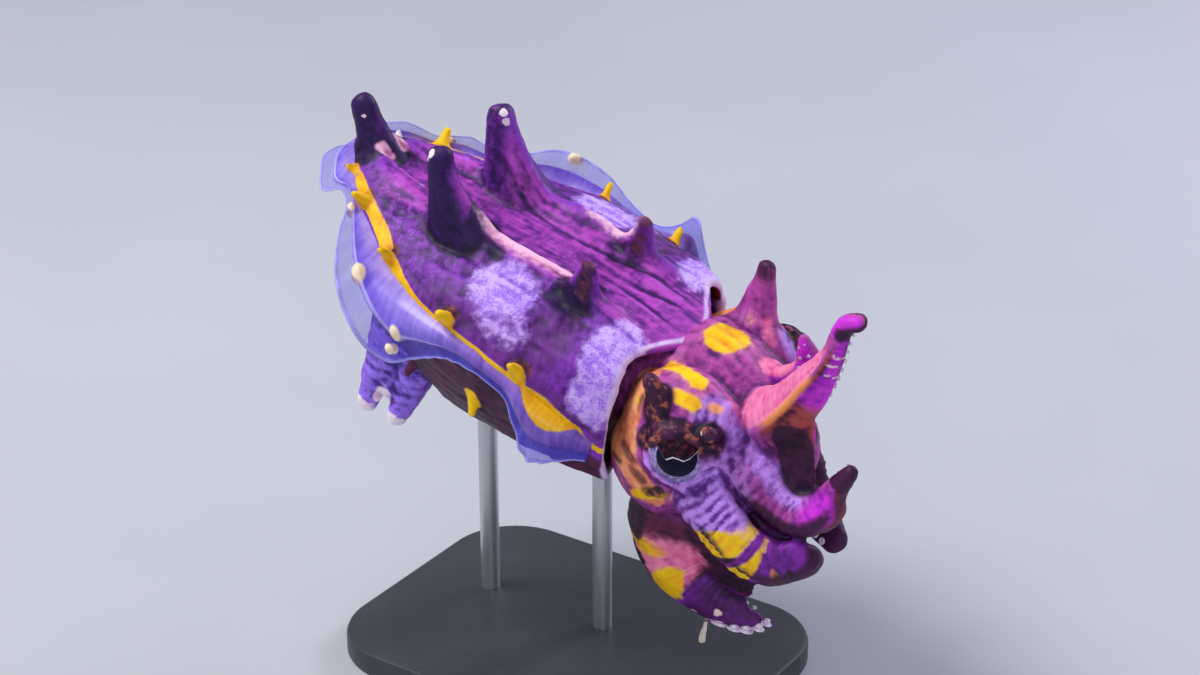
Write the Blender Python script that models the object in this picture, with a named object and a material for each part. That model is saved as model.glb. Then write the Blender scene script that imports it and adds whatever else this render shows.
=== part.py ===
"""A life-size flamboyant cuttlefish, swimming, on a plain two-rod display stand.

The animal is modelled in its own frame, in millimetres: +X towards the head, +Y to its left,
+Z out of its back, with the origin at the middle of the mantle, level with the fins. One empty
then tilts the whole animal into its swimming pose above the stand, whose underside is at Z = 0.
"""

import math

import bmesh
import bpy
from mathutils import Matrix, Vector

MM = 0.001
GAP = 0.35

# Swimming pose and stand
PITCH_DEG = 12.8
BANK_DEG = 9.0
BODY_HEIGHT = 66.0
BODY_BACK = 9.0
BASE_LENGTH, BASE_WIDTH, BASE_THICKNESS, BASE_CORNER = 68.0, 50.0, 4.0, 12.0
ROD_DIAMETER = 3.2
ROD_STATIONS = (-6.0, 17.0)

# Mantle
TAIL_X, WIDEST_X = -35.0, 8.0
TAIL_Z = 7.0
HALF_WIDTH = 20.6
BACK_HEIGHT = 8.0
BELLY_DEPTH = 23.2
RIM_BACK_X, RIM_SIDE_X, RIM_BELLY_X, RIM_TURN, RIM_DIP = 31.2, 27.4, 23.5, 1.8, 0.7
RIDGE_Y, RIDGE_HEIGHT, RIDGE_SPREAD = 7.4, 1.4, 2.0
SADDLE_DIP = 0.8
FIN_WELT = 0.7
FIN_APART = 0.6
WALL = 1.6
POCKET_DEPTH = 6.5

# Head
EYE_CENTRE, EYE_RADIUS = (38.9, 13.8, -5.0), 4.7
GAZE = (0.35, 0.88, 0.30)

SLOTS = {
    "mantle_skin": ((0.25, 0.09, 0.30), 0.45),
    "head_skin": ((0.38, 0.10, 0.28), 0.45),
    "arm_skin": ((0.40, 0.12, 0.36), 0.45),
    "fin_membrane": ((0.30, 0.24, 0.75), 0.35),
    "eye": ((0.05, 0.05, 0.10), 0.12),
    "stand_base": ((0.16, 0.17, 0.19), 0.5),
    "stand_rod": ((0.70, 0.71, 0.73), 0.3),
}


def clear_scene():
    for obj in list(bpy.data.objects):
        bpy.data.objects.remove(obj, do_unlink=True)


def collection(name):
    made = bpy.data.collections.new(name)
    bpy.context.scene.collection.children.link(made)
    return made


def material(slot):
    found = bpy.data.materials.get(slot)
    if found:
        return found
    colour, roughness = SLOTS[slot]
    made = bpy.data.materials.new(slot)
    made.use_nodes = True
    shader = made.node_tree.nodes["Principled BSDF"]
    shader.inputs["Base Color"].default_value = (*colour, 1.0)
    shader.inputs["Roughness"].default_value = roughness
    return made


def smoothstep(low, high, value):
    t = min(1.0, max(0.0, (value - low) / (high - low)))
    return t * t * (3 - 2 * t)


def hump(value, centre, spread):
    return math.exp(-(((value - centre) / spread) ** 2))


def signed_power(value, power):
    return math.copysign(abs(value) ** power, value)


def spline(points, count):
    """Evenly spaced points on a smooth curve through a few given ones."""
    ends = [2 * points[0] - points[1], *points, 2 * points[-1] - points[-2]]
    fine = []
    steps = 24
    for i in range(len(points) - 1):
        a, b, c, d = ends[i : i + 4]
        for k in range(steps):
            t = k / steps
            fine.append(
                0.5 * (2 * b + (c - a) * t + (2 * a - 5 * b + 4 * c - d) * t**2
                       + (3 * b - a - 3 * c + d) * t**3)
            )
    fine.append(points[-1].copy())
    lengths = [0.0]
    for p, q in zip(fine, fine[1:]):
        lengths.append(lengths[-1] + (q - p).length)
    out, j = [], 0
    for i in range(count):
        want = lengths[-1] * i / (count - 1)
        while j < len(fine) - 2 and lengths[j + 1] < want:
            j += 1
        share = (want - lengths[j]) / max(1e-9, lengths[j + 1] - lengths[j])
        out.append(fine[j].lerp(fine[j + 1], share))
    return out


def new_object(name, mesh, slot, parts):
    obj = bpy.data.objects.new(name, mesh)
    parts.objects.link(obj)
    mesh.materials.append(material(slot))
    return obj


def loft_mesh(name, rings, start=None, end=None):
    """A closed mesh through rings of equal length. A start or end point closes it as a pole."""
    bm = bmesh.new()
    rows = [[bm.verts.new(p * MM) for p in ring] for ring in rings]
    sides = len(rows[0])
    for low, high in zip(rows, rows[1:]):
        for k in range(sides):
            bm.faces.new((low[k], low[(k + 1) % sides], high[(k + 1) % sides], high[k]))
    for row, point, turn in ((rows[0], start, -1), (rows[-1], end, 1)):
        if point is None:
            bm.faces.new(row[::turn])
            continue
        pole = bm.verts.new(point * MM)
        for k in range(sides):
            bm.faces.new((row[k], row[(k + 1) % sides], pole)[::turn])
    bmesh.ops.triangulate(bm, faces=bm.faces)
    bmesh.ops.recalc_face_normals(bm, faces=bm.faces)
    mesh = bpy.data.meshes.new(name)
    bm.to_mesh(mesh)
    bm.free()
    return mesh


def ellipsoid_mesh(name, centre, radii, sides=20, rings=12):
    bm = bmesh.new()
    bmesh.ops.create_uvsphere(bm, u_segments=sides, v_segments=rings, radius=1.0)
    shape = Matrix.Translation(Vector(centre) * MM) @ Matrix.Diagonal((*(Vector(radii) * MM), 1.0))
    bmesh.ops.transform(bm, matrix=shape, verts=bm.verts)
    mesh = bpy.data.meshes.new(name)
    bm.to_mesh(mesh)
    bm.free()
    return mesh


def largest_shell(mesh):
    """Drops every loose piece but the one with the largest box."""
    bm = bmesh.new()
    bm.from_mesh(mesh)
    unseen, shells = set(bm.verts), []
    while unseen:
        stack, shell = [unseen.pop()], []
        while stack:
            vert = stack.pop()
            shell.append(vert)
            for edge in vert.link_edges:
                other = edge.other_vert(vert)
                if other in unseen:
                    unseen.remove(other)
                    stack.append(other)
        shells.append(shell)

    def reach(shell):
        return sum(max(v.co[k] for v in shell) - min(v.co[k] for v in shell) for k in range(3))

    shells.sort(key=reach)
    scraps = [vert for shell in shells[:-1] for vert in shell]
    bmesh.ops.delete(bm, geom=scraps, context="VERTS")
    bm.to_mesh(mesh)
    bm.free()


def combine(obj, meshes, operation):
    """Joins meshes to an object, or cuts them from it, in one Boolean, and keeps one closed body."""
    others = bpy.data.collections.new(f"{obj.name}_{operation.lower()}")
    for k, mesh in enumerate(meshes):
        others.objects.link(bpy.data.objects.new(f"{obj.name}_piece_{k}", mesh))
    bpy.context.scene.collection.children.link(others)
    others.hide_render = True
    boolean = obj.modifiers.new("combine", "BOOLEAN")
    boolean.operand_type = "COLLECTION"
    boolean.collection = others
    boolean.operation = operation
    boolean.solver = "EXACT"
    bpy.context.view_layer.update()
    graph = bpy.context.evaluated_depsgraph_get()
    made = bpy.data.meshes.new_from_object(obj.evaluated_get(graph))
    obj.modifiers.remove(boolean)
    obj.data = made
    for other in list(others.objects):
        bpy.data.objects.remove(other, do_unlink=True)
    bpy.data.collections.remove(others)
    largest_shell(made)


def mesh_box(mesh):
    low = [min(v.co[k] for v in mesh.vertices) for k in range(3)]
    high = [max(v.co[k] for v in mesh.vertices) for k in range(3)]
    return low, high


def cut_clear(obj, rooms):
    """Cuts an object clear of the rooms that its box reaches."""
    low, high = mesh_box(obj.data)
    near = []
    for room in rooms:
        room_low, room_high = mesh_box(room)
        if all(low[k] < room_high[k] and room_low[k] < high[k] for k in range(3)):
            near.append(room)
    if near:
        combine(obj, near, "DIFFERENCE")


def horn_mesh(name, base, tip, base_radius, tip_radius, bow=(0, 0, 0), flare=2.0, flat=1.0,
              along=(1, 0, 0), sides=9, rings=7, grow=0.0):
    """A fleshy papilla: a bent cone with a flared foot and a round tip, wider along one direction."""
    base, tip, bow = Vector(base), Vector(tip), Vector(bow)
    middle = (base + tip) / 2 + bow
    axis = (tip - base).normalized()
    side = Vector(along)
    side = (side - side.dot(axis) * axis).normalized()
    other = axis.cross(side)
    levels = []
    for k in range(rings):
        t = k / (rings - 1)
        point = (1 - t) ** 2 * base + 2 * t * (1 - t) * middle + t**2 * tip
        radius = tip_radius + (base_radius - tip_radius) * (1 - t) ** flare
        if k == rings - 1:
            point = point + (base - tip).normalized() * (tip_radius * 0.25 - grow)
            radius = tip_radius * 0.62
        radius += grow
        levels.append([
            point + side * (radius * flat * math.cos(a)) + other * (radius * math.sin(a))
            for a in (2 * math.pi * i / sides for i in range(sides))
        ])
    return loft_mesh(name, levels, end=tip + axis * (tip_radius * 0.25 + grow))


def half_width(x):
    """Half the mantle's width at a station, from the tail's point to the front rim."""
    if x < WIDEST_X:
        share = min(1.0, (WIDEST_X - x) / (WIDEST_X - TAIL_X))
        return HALF_WIDTH * (1 - share**2) ** 0.88
    return HALF_WIDTH * (1 - 0.26 * ((x - WIDEST_X) / (RIM_BACK_X - WIDEST_X)) ** 2)


def fin_line(x):
    """Height of the fin's root: it rises to the tail and dips towards the head."""
    rise = 0.145 * (math.hypot(x + 10.0, 6.0) - (x + 10.0))
    dip = 0.012 * max(0.0, x + 0.5) ** 2
    return min(rise, TAIL_Z) - dip


def fullness(x, power):
    share = min(1.0, max(0.0, (WIDEST_X - x) / (WIDEST_X - TAIL_X)))
    return (1 - share**2) ** power


def back_height(x):
    level = BACK_HEIGHT - 0.0030 * max(0.0, x + 2.0) ** 2
    return TAIL_Z + (level - TAIL_Z) * fullness(x, 0.3) + 1.2 * hump(x, -29.0, 5.0)


def belly_height(x):
    level = -BELLY_DEPTH + 0.10 * max(0.0, x - 14.0) - 2.4 * hump(x, -6.0, 8.0)
    return TAIL_Z + (level - TAIL_Z) * fullness(x, 0.62)


def rim_x(angle):
    """Where the front rim lies: a lobe over the neck, a notch for the funnel, and drawn back on the left."""
    up = math.sin(angle)
    side = RIM_SIDE_X - RIM_TURN * max(0.0, math.cos(angle))
    if up > 0:
        dip = RIM_DIP * hump(abs(math.cos(angle)), 0.57, 0.22)
        return side + (RIM_BACK_X - RIM_SIDE_X) * up**24 - dip
    return side + (RIM_BELLY_X - RIM_SIDE_X) * up**4


def mantle_point(x, angle, grow=0.0):
    """A point of the mantle's skin. The angle runs from the left fin line over the back."""
    across, up = math.cos(angle), math.sin(angle)
    power = 2 / (2.0 + 1.4 * smoothstep(12, 28, x) if up > 0 else 2.7)
    limit = back_height(x) if up > 0 else belly_height(x)
    width = half_width(x)
    y = width * signed_power(across, power)
    level = fin_line(x)
    z = level + abs(limit - level) * signed_power(up, power)
    if up > 0:
        along = smoothstep(-33, -24, x) * (1 - smoothstep(17, 26, x))
        z += along * RIDGE_HEIGHT * hump(abs(y), RIDGE_Y * min(1.0, width / 17.0), RIDGE_SPREAD)
        z -= along * SADDLE_DIP * hump(y, 0.0, 4.0)
    y += math.copysign(FIN_WELT * smoothstep(0.93, 1.0, abs(across)) * min(1.0, width / 6.0), across)
    return Vector((x, y + grow * across, z + grow * up))


def mantle_mesh(name, grow=0.0, pocket=True, sides=32, stations=14):
    angles = [2 * math.pi * (k + 0.5) / sides for k in range(sides)]
    rings = []
    for i in range(1, stations + 1):
        share = (i / stations) ** 1.25
        rings.append([
            mantle_point(TAIL_X + (rim_x(a) + grow - TAIL_X) * share, a, grow) for a in angles
        ])
    tail = Vector((TAIL_X - grow, 0, TAIL_Z))
    if not pocket:
        return loft_mesh(name, rings, start=tail)
    lip = [mantle_point(rim_x(a) + 0.5, a, -WALL * 0.45) for a in angles]
    mouth = [mantle_point(rim_x(a) - 0.2, a, -WALL) for a in angles]
    inner = [mantle_point(rim_x(a) - POCKET_DEPTH * 0.6, a, -WALL * 1.5) for a in angles]
    floor = [mantle_point(rim_x(a) - POCKET_DEPTH, a, -WALL * 3.2) for a in angles]
    middle = sum(floor, Vector()) / sides
    return loft_mesh(name, [*rings, lip, mouth, inner, floor], start=tail, end=middle - Vector((1, 0, 0)))


def mirrored(point, side):
    return Vector((point[0], point[1] * side, point[2]))


def back_papillae(grow=0.0):
    """The large papillae that name the species: tail horn, two big and two small pairs on the ridges."""
    made = [
        horn_mesh("tail_horn", (-28.6, 0, 4.5), (-33.2, 0, 14.6), 5.0, 2.0, bow=(0.4, 0, -0.4), flat=1.2,
                  flare=1.5, grow=grow),
    ]
    for side in (1, -1):
        made += [
            horn_mesh("big_papilla", mirrored((-6.6, 7.0, 4.6), side), mirrored((-12.4, 7.6, 19.0), side),
                      5.4, 2.2 - 0.25 * side, bow=(-1.8, 0, 0), flat=1.25, flare=1.4, sides=10, rings=8, grow=grow),
            horn_mesh("front_papilla", mirrored((14.0, 7.0, 4.5), side), mirrored((15.8, 7.2, 12.6), side),
                      4.4, 1.2, bow=(0.9, 0, -1.2), flat=1.5, flare=1.8, grow=grow),
            horn_mesh("tail_knob", mirrored((-29.0, 4.2, 4.2), side), mirrored((-31.0, 6.2, 7.2), side),
                      2.0, 0.8, flare=1.5, sides=7, rings=5, grow=grow),
        ]
    return made


def edge_papillae(grow=0.0):
    """The row of small papillae just above each fin, and the pendants below it."""
    made = []
    for side in (1, -1):
        for x in (-24.5, -14.5, 0.5, 14.0):
            root = mantle_point(x - 0.3, 0.16)
            foot = mirrored(root - Vector((0, 1.6, 0.9)), side)
            tip = mirrored(root + Vector((-0.4, 1.5, 2.5)), side)
            made.append(horn_mesh("edge_papilla", foot, tip, 1.9, 0.65, flat=1.3, sides=7, rings=5, grow=grow))
        for x in (-17.5, -8.5, 5.5):
            root = mantle_point(x, -0.55)
            foot = mirrored(root - Vector((0, 1.8, -1.2)), side)
            tip = mirrored(root + Vector((-0.6, 0.9, -2.6)), side)
            made.append(horn_mesh("pendant", foot, tip, 1.7, 0.75, sides=7, rings=5, grow=grow))
    return made


def build_mantle(parts):
    mantle = new_object("mantle", mantle_mesh("mantle"), "mantle_skin", parts)
    combine(mantle, back_papillae() + edge_papillae(), "UNION")
    return mantle


# Each row is a crest or trough of a fin: station, lift above level in degrees, width, sweep to the rear
RIGHT_FIN = (
    (-34.5, 0, 1.2, 0.5), (-31.6, -14, 9.2, 3.0), (-28.6, 0, 3.4, 1.0), (-25.5, 5, 2.4, 0.3),
    (-21.5, 5, 5.2, 1.0), (-17.0, -8, 8.4, 2.0), (-12.5, -28, 10.4, 2.0), (-8.0, -62, 10.8, 0.5),
    (-4.0, -72, 7.8, 0.0), (1.5, -75, 4.4, 0.0), (7.5, -80, 3.4, 0.0), (12.5, -82, 4.2, 0.0),
    (16.5, -80, 9.0, 0.5), (20.5, -76, 10.8, 1.0), (26.4, -78, 8.0, 0.6),
)
LEFT_FIN = (
    (-34.5, 25, 3.0, 2.0), (-30.0, 62, 5.0, 1.0), (-26.5, 50, 2.8, 0.0), (-22.5, 40, 3.6, 0.0),
    (-17.5, 30, 2.8, 0.0), (-10.0, 48, 6.4, 0.0), (-3.0, 40, 5.6, 0.0), (3.0, 12, 3.2, 0.0),
    (9.0, 5, 2.6, 0.0), (15.2, 62, 7.6, 0.0), (18.5, 45, 4.2, 0.0), (24.8, 0, 1.4, -1.0),
)


def fin_mesh(name, side, rows, stations=38, across=4):
    """A rippling fin. Both faces are split into triangles alike, and the root lies inside the mantle."""
    wave = spline([Vector((r[0], r[1] / 10, r[2])) for r in rows], stations)
    sweep = spline([Vector((r[0], r[3], 0)) for r in rows], stations)
    faces_up, faces_down = [], []
    for k in range(stations):
        x = wave[k].x
        lift = math.radians(wave[k].y * 10)
        ends = min(1.0, 0.35 + 3.2 * k / (stations - 1)) * min(1.0, 0.45 + 5.0 * (1 - k / (stations - 1)))
        width = wave[k].z * ends
        root = Vector((x, max(FIN_APART, half_width(x) + FIN_WELT * 0.5 - 1.3), fin_line(x)))
        level = Vector((0, 1, 0))
        row_up, row_down = [], []
        for j in range(across):
            share = j / (across - 1)
            bend = lift * smoothstep(-0.15, 0.75, share)
            out = Vector((0, math.cos(bend), math.sin(bend)))
            point = root + level * 1.3 * min(1.0, share * 4) + out * width * share
            point.x -= sweep[k].y * share**1.5
            thickness = 1.1 - 0.55 * share
            normal = Vector((0, -math.sin(bend), math.cos(bend)))
            row_up.append(mirrored(point + normal * thickness / 2, side))
            row_down.append(mirrored(point - normal * thickness / 2, side))
        faces_up.append(row_up)
        faces_down.append(row_down)
    bm = bmesh.new()
    up = [[bm.verts.new(p * MM) for p in row] for row in faces_up]
    down = [[bm.verts.new(p * MM) for p in row] for row in faces_down]
    for i in range(stations - 1):
        for j in range(across - 1):
            for grid, turn in ((up, 1), (down, -1)):
                a, b, c, d = grid[i][j], grid[i + 1][j], grid[i + 1][j + 1], grid[i][j + 1]
                bm.faces.new((a, b, c)[::turn])
                bm.faces.new((a, c, d)[::turn])
    for i in range(stations - 1):
        for j, turn in ((0, -1), (across - 1, 1)):
            quad = (up[i][j], up[i + 1][j], down[i + 1][j], down[i][j])[::turn]
            bm.faces.new(quad[:3])
            bm.faces.new((quad[0], quad[2], quad[3]))
    for j in range(across - 1):
        for i, turn in ((0, 1), (stations - 1, -1)):
            quad = (up[i][j], up[i][j + 1], down[i][j + 1], down[i][j])[::turn]
            bm.faces.new(quad[:3])
            bm.faces.new((quad[0], quad[2], quad[3]))
    bmesh.ops.recalc_face_normals(bm, faces=bm.faces)
    mesh = bpy.data.meshes.new(name)
    bm.to_mesh(mesh)
    bm.free()
    return mesh


def build_fins(parts):
    for name, side, rows in (("fin_right", -1, RIGHT_FIN), ("fin_left", 1, LEFT_FIN)):
        fin = new_object(name, fin_mesh(name, side, rows), "fin_membrane", parts)
        cut_clear(fin, [mantle_mesh("mantle_room", GAP, pocket=False), *back_papillae(GAP), *edge_papillae(GAP)])


def flap_meshes(side, grow=0.0):
    """A walking flap: two blunt lobes that share a wide root under the belly's edge."""
    return [
        horn_mesh("flap_rear", mirrored((-13.8, 11.0, -8.0), side), mirrored((-18.8, 14.2, -29.4), side),
                  4.6, 1.5, bow=(-0.8, 1.6, 0), flare=1.1, flat=1.3, sides=12, rings=8, grow=grow),
        horn_mesh("flap_front", mirrored((-9.0, 11.0, -10.0), side), mirrored((-13.2, 13.6, -29.6), side),
                  4.4, 1.5, bow=(0.2, 1.0, 0), flare=1.1, flat=1.2, sides=12, rings=7, grow=grow),
    ]


def build_flaps(parts):
    for name, side in (("flap_right", -1), ("flap_left", 1)):
        rear, front = flap_meshes(side)
        flap = new_object(name, rear, "mantle_skin", parts)
        combine(flap, [front], "UNION")
        cut_clear(flap, [mantle_mesh("mantle_room", GAP, pocket=False), *edge_papillae(GAP)])


# Each row is a section of the head: centre x and z, half width, half height
HEAD_SECTIONS = (
    (22.0, -6.0, 8.5, 8.5), (26.0, -6.4, 10.0, 10.2), (31.0, -6.8, 12.0, 12.6), (36.0, -8.0, 12.4, 12.8),
    (41.0, -9.4, 11.6, 12.2), (45.5, -11.2, 9.8, 10.6), (49.5, -13.0, 7.4, 8.2),
)
HEAD_FRONT_LEAN = 22.0

# Centre and radii of the mound round each eye and of the cheek below it
MOUNDS = (
    ((37.3, -9.8, -7.2), (10.8, 7.0, 12.6)), ((35.4, 9.4, -7.2), (9.6, 6.4, 11.2)),
    ((34.0, -9.6, -12.0), (8.6, 6.8, 9.6)), ((33.6, 9.2, -11.4), (8.2, 6.4, 9.2)),
)


def head_mesh(name, grow=0.0, sides=22):
    """The head's core, leaning over forwards so that the arms' crown faces a little down."""
    rings = []
    last = len(HEAD_SECTIONS) - 1
    for k, (x, z, width, height) in enumerate(HEAD_SECTIONS):
        lean = math.radians(HEAD_FRONT_LEAN) * k / last
        up = Vector((math.sin(lean), 0, math.cos(lean)))
        ahead = Vector((math.cos(lean), 0, -math.sin(lean)))
        push = grow if k == last else -grow if k == 0 else 0.0
        centre = Vector((x, 0, z)) + ahead * push
        rings.append([
            centre + Vector((0, width + grow, 0)) * math.cos(a) + up * ((height + grow) * math.sin(a))
            for a in (2 * math.pi * (i + 0.5) / sides for i in range(sides))
        ])
    muzzle = sum(rings[-1], Vector()) / sides + Vector((2.5 + grow, 0, -1.0))
    return loft_mesh(name, rings, end=muzzle)


def eye_mounds(grow=0.0):
    return [
        ellipsoid_mesh("eye_mound", centre, [r + grow for r in radii], 20, 12) for centre, radii in MOUNDS
    ]


def eye_room():
    return [
        ellipsoid_mesh("eye_room", mirrored(EYE_CENTRE, side), [EYE_RADIUS + GAP] * 3, 20, 12) for side in (1, -1)
    ]


def lid_mesh(name, side, start_deg, end_deg, radius, thickness, height, steps=9, sides=6):
    """A lid: a thick fold along part of a circle round the line of sight, tapering to its ends."""
    gaze = mirrored(GAZE, side).normalized()
    level = Vector((0, 0, 1)).cross(gaze).normalized() * side
    up = (Vector((0, 0, 1)) - gaze.z * gaze).normalized()
    centre = mirrored(EYE_CENTRE, side) + gaze * height
    rings = []
    for k in range(steps):
        share = k / (steps - 1)
        angle = math.radians(start_deg + (end_deg - start_deg) * share)
        out = level * math.cos(angle) + up * math.sin(angle)
        bulge = thickness * (0.3 + 0.7 * math.sin(math.pi * share) ** 0.5)
        rings.append([
            centre + out * (radius + bulge * math.cos(a)) + gaze * (1.4 * bulge * math.sin(a))
            for a in (2 * math.pi * i / sides for i in range(sides))
        ])
    return loft_mesh(name, rings)


def head_papillae(grow=0.0):
    return [
        horn_mesh("brow_horn_right", (35.8, -12.4, -3.0), (33.0, -15.2, 6.0), 3.2, 1.2, flat=1.2, flare=1.5,
                  sides=8, grow=grow),
        horn_mesh("brow_horn_left", (35.2, 10.0, 0.0), (34.0, 13.2, 10.6), 3.6, 1.1, flat=1.4, flare=1.5,
                  sides=9, grow=grow),
        horn_mesh("brow_knob_right", (42.4, -12.2, -2.0), (43.9, -15.2, 1.9), 2.6, 1.2, flat=1.3, sides=7,
                  rings=5, grow=grow),
        horn_mesh("brow_knob_left", (39.4, 12.2, -2.0), (40.2, 14.0, 0.6), 1.8, 0.8, sides=7, rings=5, grow=grow),
    ]


def head_room():
    return [head_mesh("head_room", GAP), *eye_mounds(GAP)]


def build_head(parts):
    head = new_object("head", head_mesh("head"), "head_skin", parts)
    combine(head, eye_mounds(), "UNION")
    lids = []
    for side in (1, -1):
        lids.append(lid_mesh("upper_lid", side, 2, 178, EYE_RADIUS - 0.6, 1.5, 2.2))
        lids.append(lid_mesh("lower_lid", side, 190, 350, EYE_RADIUS + 0.3, 0.7, 0.9))
    combine(head, lids + head_papillae(), "UNION")
    combine(head, [*eye_room(), mantle_wall_room()], "DIFFERENCE")


def mantle_wall_room():
    return mantle_mesh("mantle_wall_room", GAP)


def build_eyes(parts):
    for name, side in (("eye_right", -1), ("eye_left", 1)):
        mesh = ellipsoid_mesh(name, mirrored(EYE_CENTRE, side), [EYE_RADIUS] * 3, 16, 12)
        new_object(name, mesh, "eye", parts)


# Each arm: side, the way its flat inner face looks at the root, its centreline, then its width and its
# thickness at even steps from root to tip
ARMS = {
    "arm_right_1": (-1, (0.0, -0.9, -0.4),
                    ((41, 2.5, -5), (45.5, 3.9, -2.5), (49.2, 5.2, 1.8), (52.2, 5.8, 7.0), (54.3, 6.0, 11.8),
                     (55.9, 5.9, 16.6), (56.5, 5.6, 20.8), (57.3, 5.6, 24.0), (59.2, 5.8, 25.3)),
                    (11.5, 10.6, 8.6, 6.6, 3.8, 3.0), (8.5, 7.6, 6.2, 5.2, 3.3, 2.7)),
    "arm_left_1": (1, (0.0, -0.9, -0.4),
                   ((41, 2.5, -5), (45.0, 3.4, -1.2), (48.0, 3.2, 3.0), (48.4, 2.8, 7.0), (47.2, 2.4, 10.6)),
                   (9.5, 8.4, 7.0, 4.6, 2.0), (6.5, 5.6, 4.6, 3.4, 1.8)),
    "arm_right_2": (-1, (0.0, -1.0, -0.2),
                    ((41, 5.0, -9), (45.8, 8.0, -5.8), (49.6, 9.2, -6.4), (52.8, 9.4, -8.2), (56.0, 9.3, -9.2),
                     (59.0, 9.0, -8.4), (61.0, 8.6, -5.8), (61.4, 8.4, -3.2), (62.4, 8.2, -0.4), (63.4, 8.1, 2.0)),
                    (11.0, 10.0, 8.0, 7.4, 7.2, 4.2, 2.4), (7.5, 7.2, 6.6, 6.2, 5.8, 3.8, 2.3)),
    "arm_left_2": (1, (0.0, -1.0, -0.2),
                   ((41, 5.0, -9), (44.5, 6.6, -9.0), (47.0, 7.0, -12.4), (47.8, 6.6, -17.0), (46.6, 5.4, -21.0)),
                   (10.0, 9.0, 7.6, 5.8, 3.4), (7.0, 6.4, 5.6, 4.4, 2.8)),
    "arm_right_3": (-1, (0.0, -1.0, 0.1),
                    ((38, 7, -12), (41.5, 9.8, -11.6), (44.9, 11.8, -13.4), (48.5, 12.4, -15.4),
                     (51.7, 12.4, -17.2), (54.9, 12.0, -17.6), (57.6, 11.4, -16.7), (59.0, 11.0, -15.8)),
                    (14.0, 14.2, 13.8, 13.4, 12.4, 9.0), (8.5, 8.2, 7.6, 7.2, 6.6, 5.2)),
    "arm_left_3": (1, (0.0, -1.0, 0.1),
                   ((38, 7, -12), (42.5, 8.6, -14.0), (47.0, 8.4, -19.0), (52.5, 7.2, -23.6), (57.5, 4.6, -24.6)),
                   (11.5, 11.0, 9.8, 7.8, 5.0), (7.5, 7.2, 6.4, 5.2, 3.4)),
    "arm_right_4": (-1, (0.1, -1.0, 0.0),
                    ((38.5, 5, -13), (36.4, 7.8, -18.4), (35.7, 9.4, -24.0), (36.7, 9.4, -29.0),
                     (39.3, 9.0, -33.0), (43.0, 8.4, -35.6), (47.2, 7.4, -36.9), (52.0, 6.2, -37.2)),
                    (11.5, 13.0, 12.6, 11.2, 8.4, 3.4), (6.8, 6.6, 6.2, 5.6, 4.4, 2.6)),
    "arm_left_4": (1, (0.1, -1.0, 0.0),
                   ((37.5, 5, -13), (36.6, 7.4, -20.0), (37.6, 7.6, -28.0), (40.6, 6.6, -35.0), (46.0, 3.6, -39.0)),
                   (10.5, 11.0, 10.0, 7.6, 4.0), (6.5, 6.2, 5.6, 4.4, 2.4)),
}
ARM_SIDES, ARM_RINGS = 12, 15
TIP_SHARE = 0.56
SIZE_STEPS = 40


def size_along(values, share):
    """A smooth size through values at even steps from root to tip."""
    place = share * (len(values) - 1)
    curve = spline([Vector((k, value, 0)) for k, value in enumerate(values)], SIZE_STEPS)
    for low, high in zip(curve, curve[1:]):
        if place <= high.x:
            return low.y + (high.y - low.y) * (place - low.x) / (high.x - low.x)
    return values[-1]


def arm_frames(side, inner_face, points, count):
    """Points along an arm with its sideways and inward directions, carried along without twist."""
    path = spline([mirrored(p, side) for p in points], count)
    tangents = [(path[min(k + 1, count - 1)] - path[max(k - 1, 0)]).normalized() for k in range(count)]
    inward = mirrored(inner_face, side)
    frames = []
    for k in range(count):
        if k:
            turn = tangents[k - 1].rotation_difference(tangents[k])
            inward = turn @ inward
        inward = (inward - inward.dot(tangents[k]) * tangents[k]).normalized()
        frames.append((path[k], tangents[k], inward, tangents[k].cross(inward)))
    return frames


def arm_ring(frame, width, thickness, grow=0.0):
    """A section of an arm: flat inside, with a low keel outside."""
    point, _, inward, sideways = frame
    ring = []
    for i in range(ARM_SIDES):
        a = 2 * math.pi * i / ARM_SIDES
        reach = math.sin(a)
        depth = thickness / 2 * reach * (0.75 if reach > 0 else 1 + 0.3 * reach**4)
        ring.append(point + sideways * ((width / 2 + grow) * math.cos(a)) + inward * (depth + grow * reach))
    return ring


def arm_mesh(name, low=0.0, high=1.0, grow=0.0):
    side, inner_face, points, widths, depths = ARMS[name]
    fine = 61
    frames = arm_frames(side, inner_face, points, fine)
    rings = []
    count = max(3, round(ARM_RINGS * (high - low)))
    for k in range(count):
        share = low + (high - low) * k / (count - 1)
        frame = frames[round(share * (fine - 1))]
        rings.append(arm_ring(frame, size_along(widths, share), size_along(depths, share), grow))
    if high < 1.0:
        return loft_mesh(name, rings)
    point, tangent = frames[-1][:2]
    tip = widths[-1]
    cap = arm_ring((point + tangent * (tip * 0.3 + grow), *frames[-1][1:]), tip * 0.6, depths[-1] * 0.6, grow)
    return loft_mesh(name, [*rings, cap], end=point + tangent * (tip * 0.45 + grow))


def sucker_mesh(centre, axis, radius, sides=7):
    """A sucker: a short cup with a dimple in its mouth."""
    side = axis.orthogonal().normalized()
    other = axis.cross(side)

    def ring(height, size):
        return [
            centre + axis * height + side * (size * math.cos(a)) + other * (size * math.sin(a))
            for a in (2 * math.pi * i / sides for i in range(sides))
        ]

    return loft_mesh("sucker", [ring(-0.8, radius * 0.7), ring(radius * 0.55, radius)],
                     end=centre + axis * (radius * 0.15))


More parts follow.
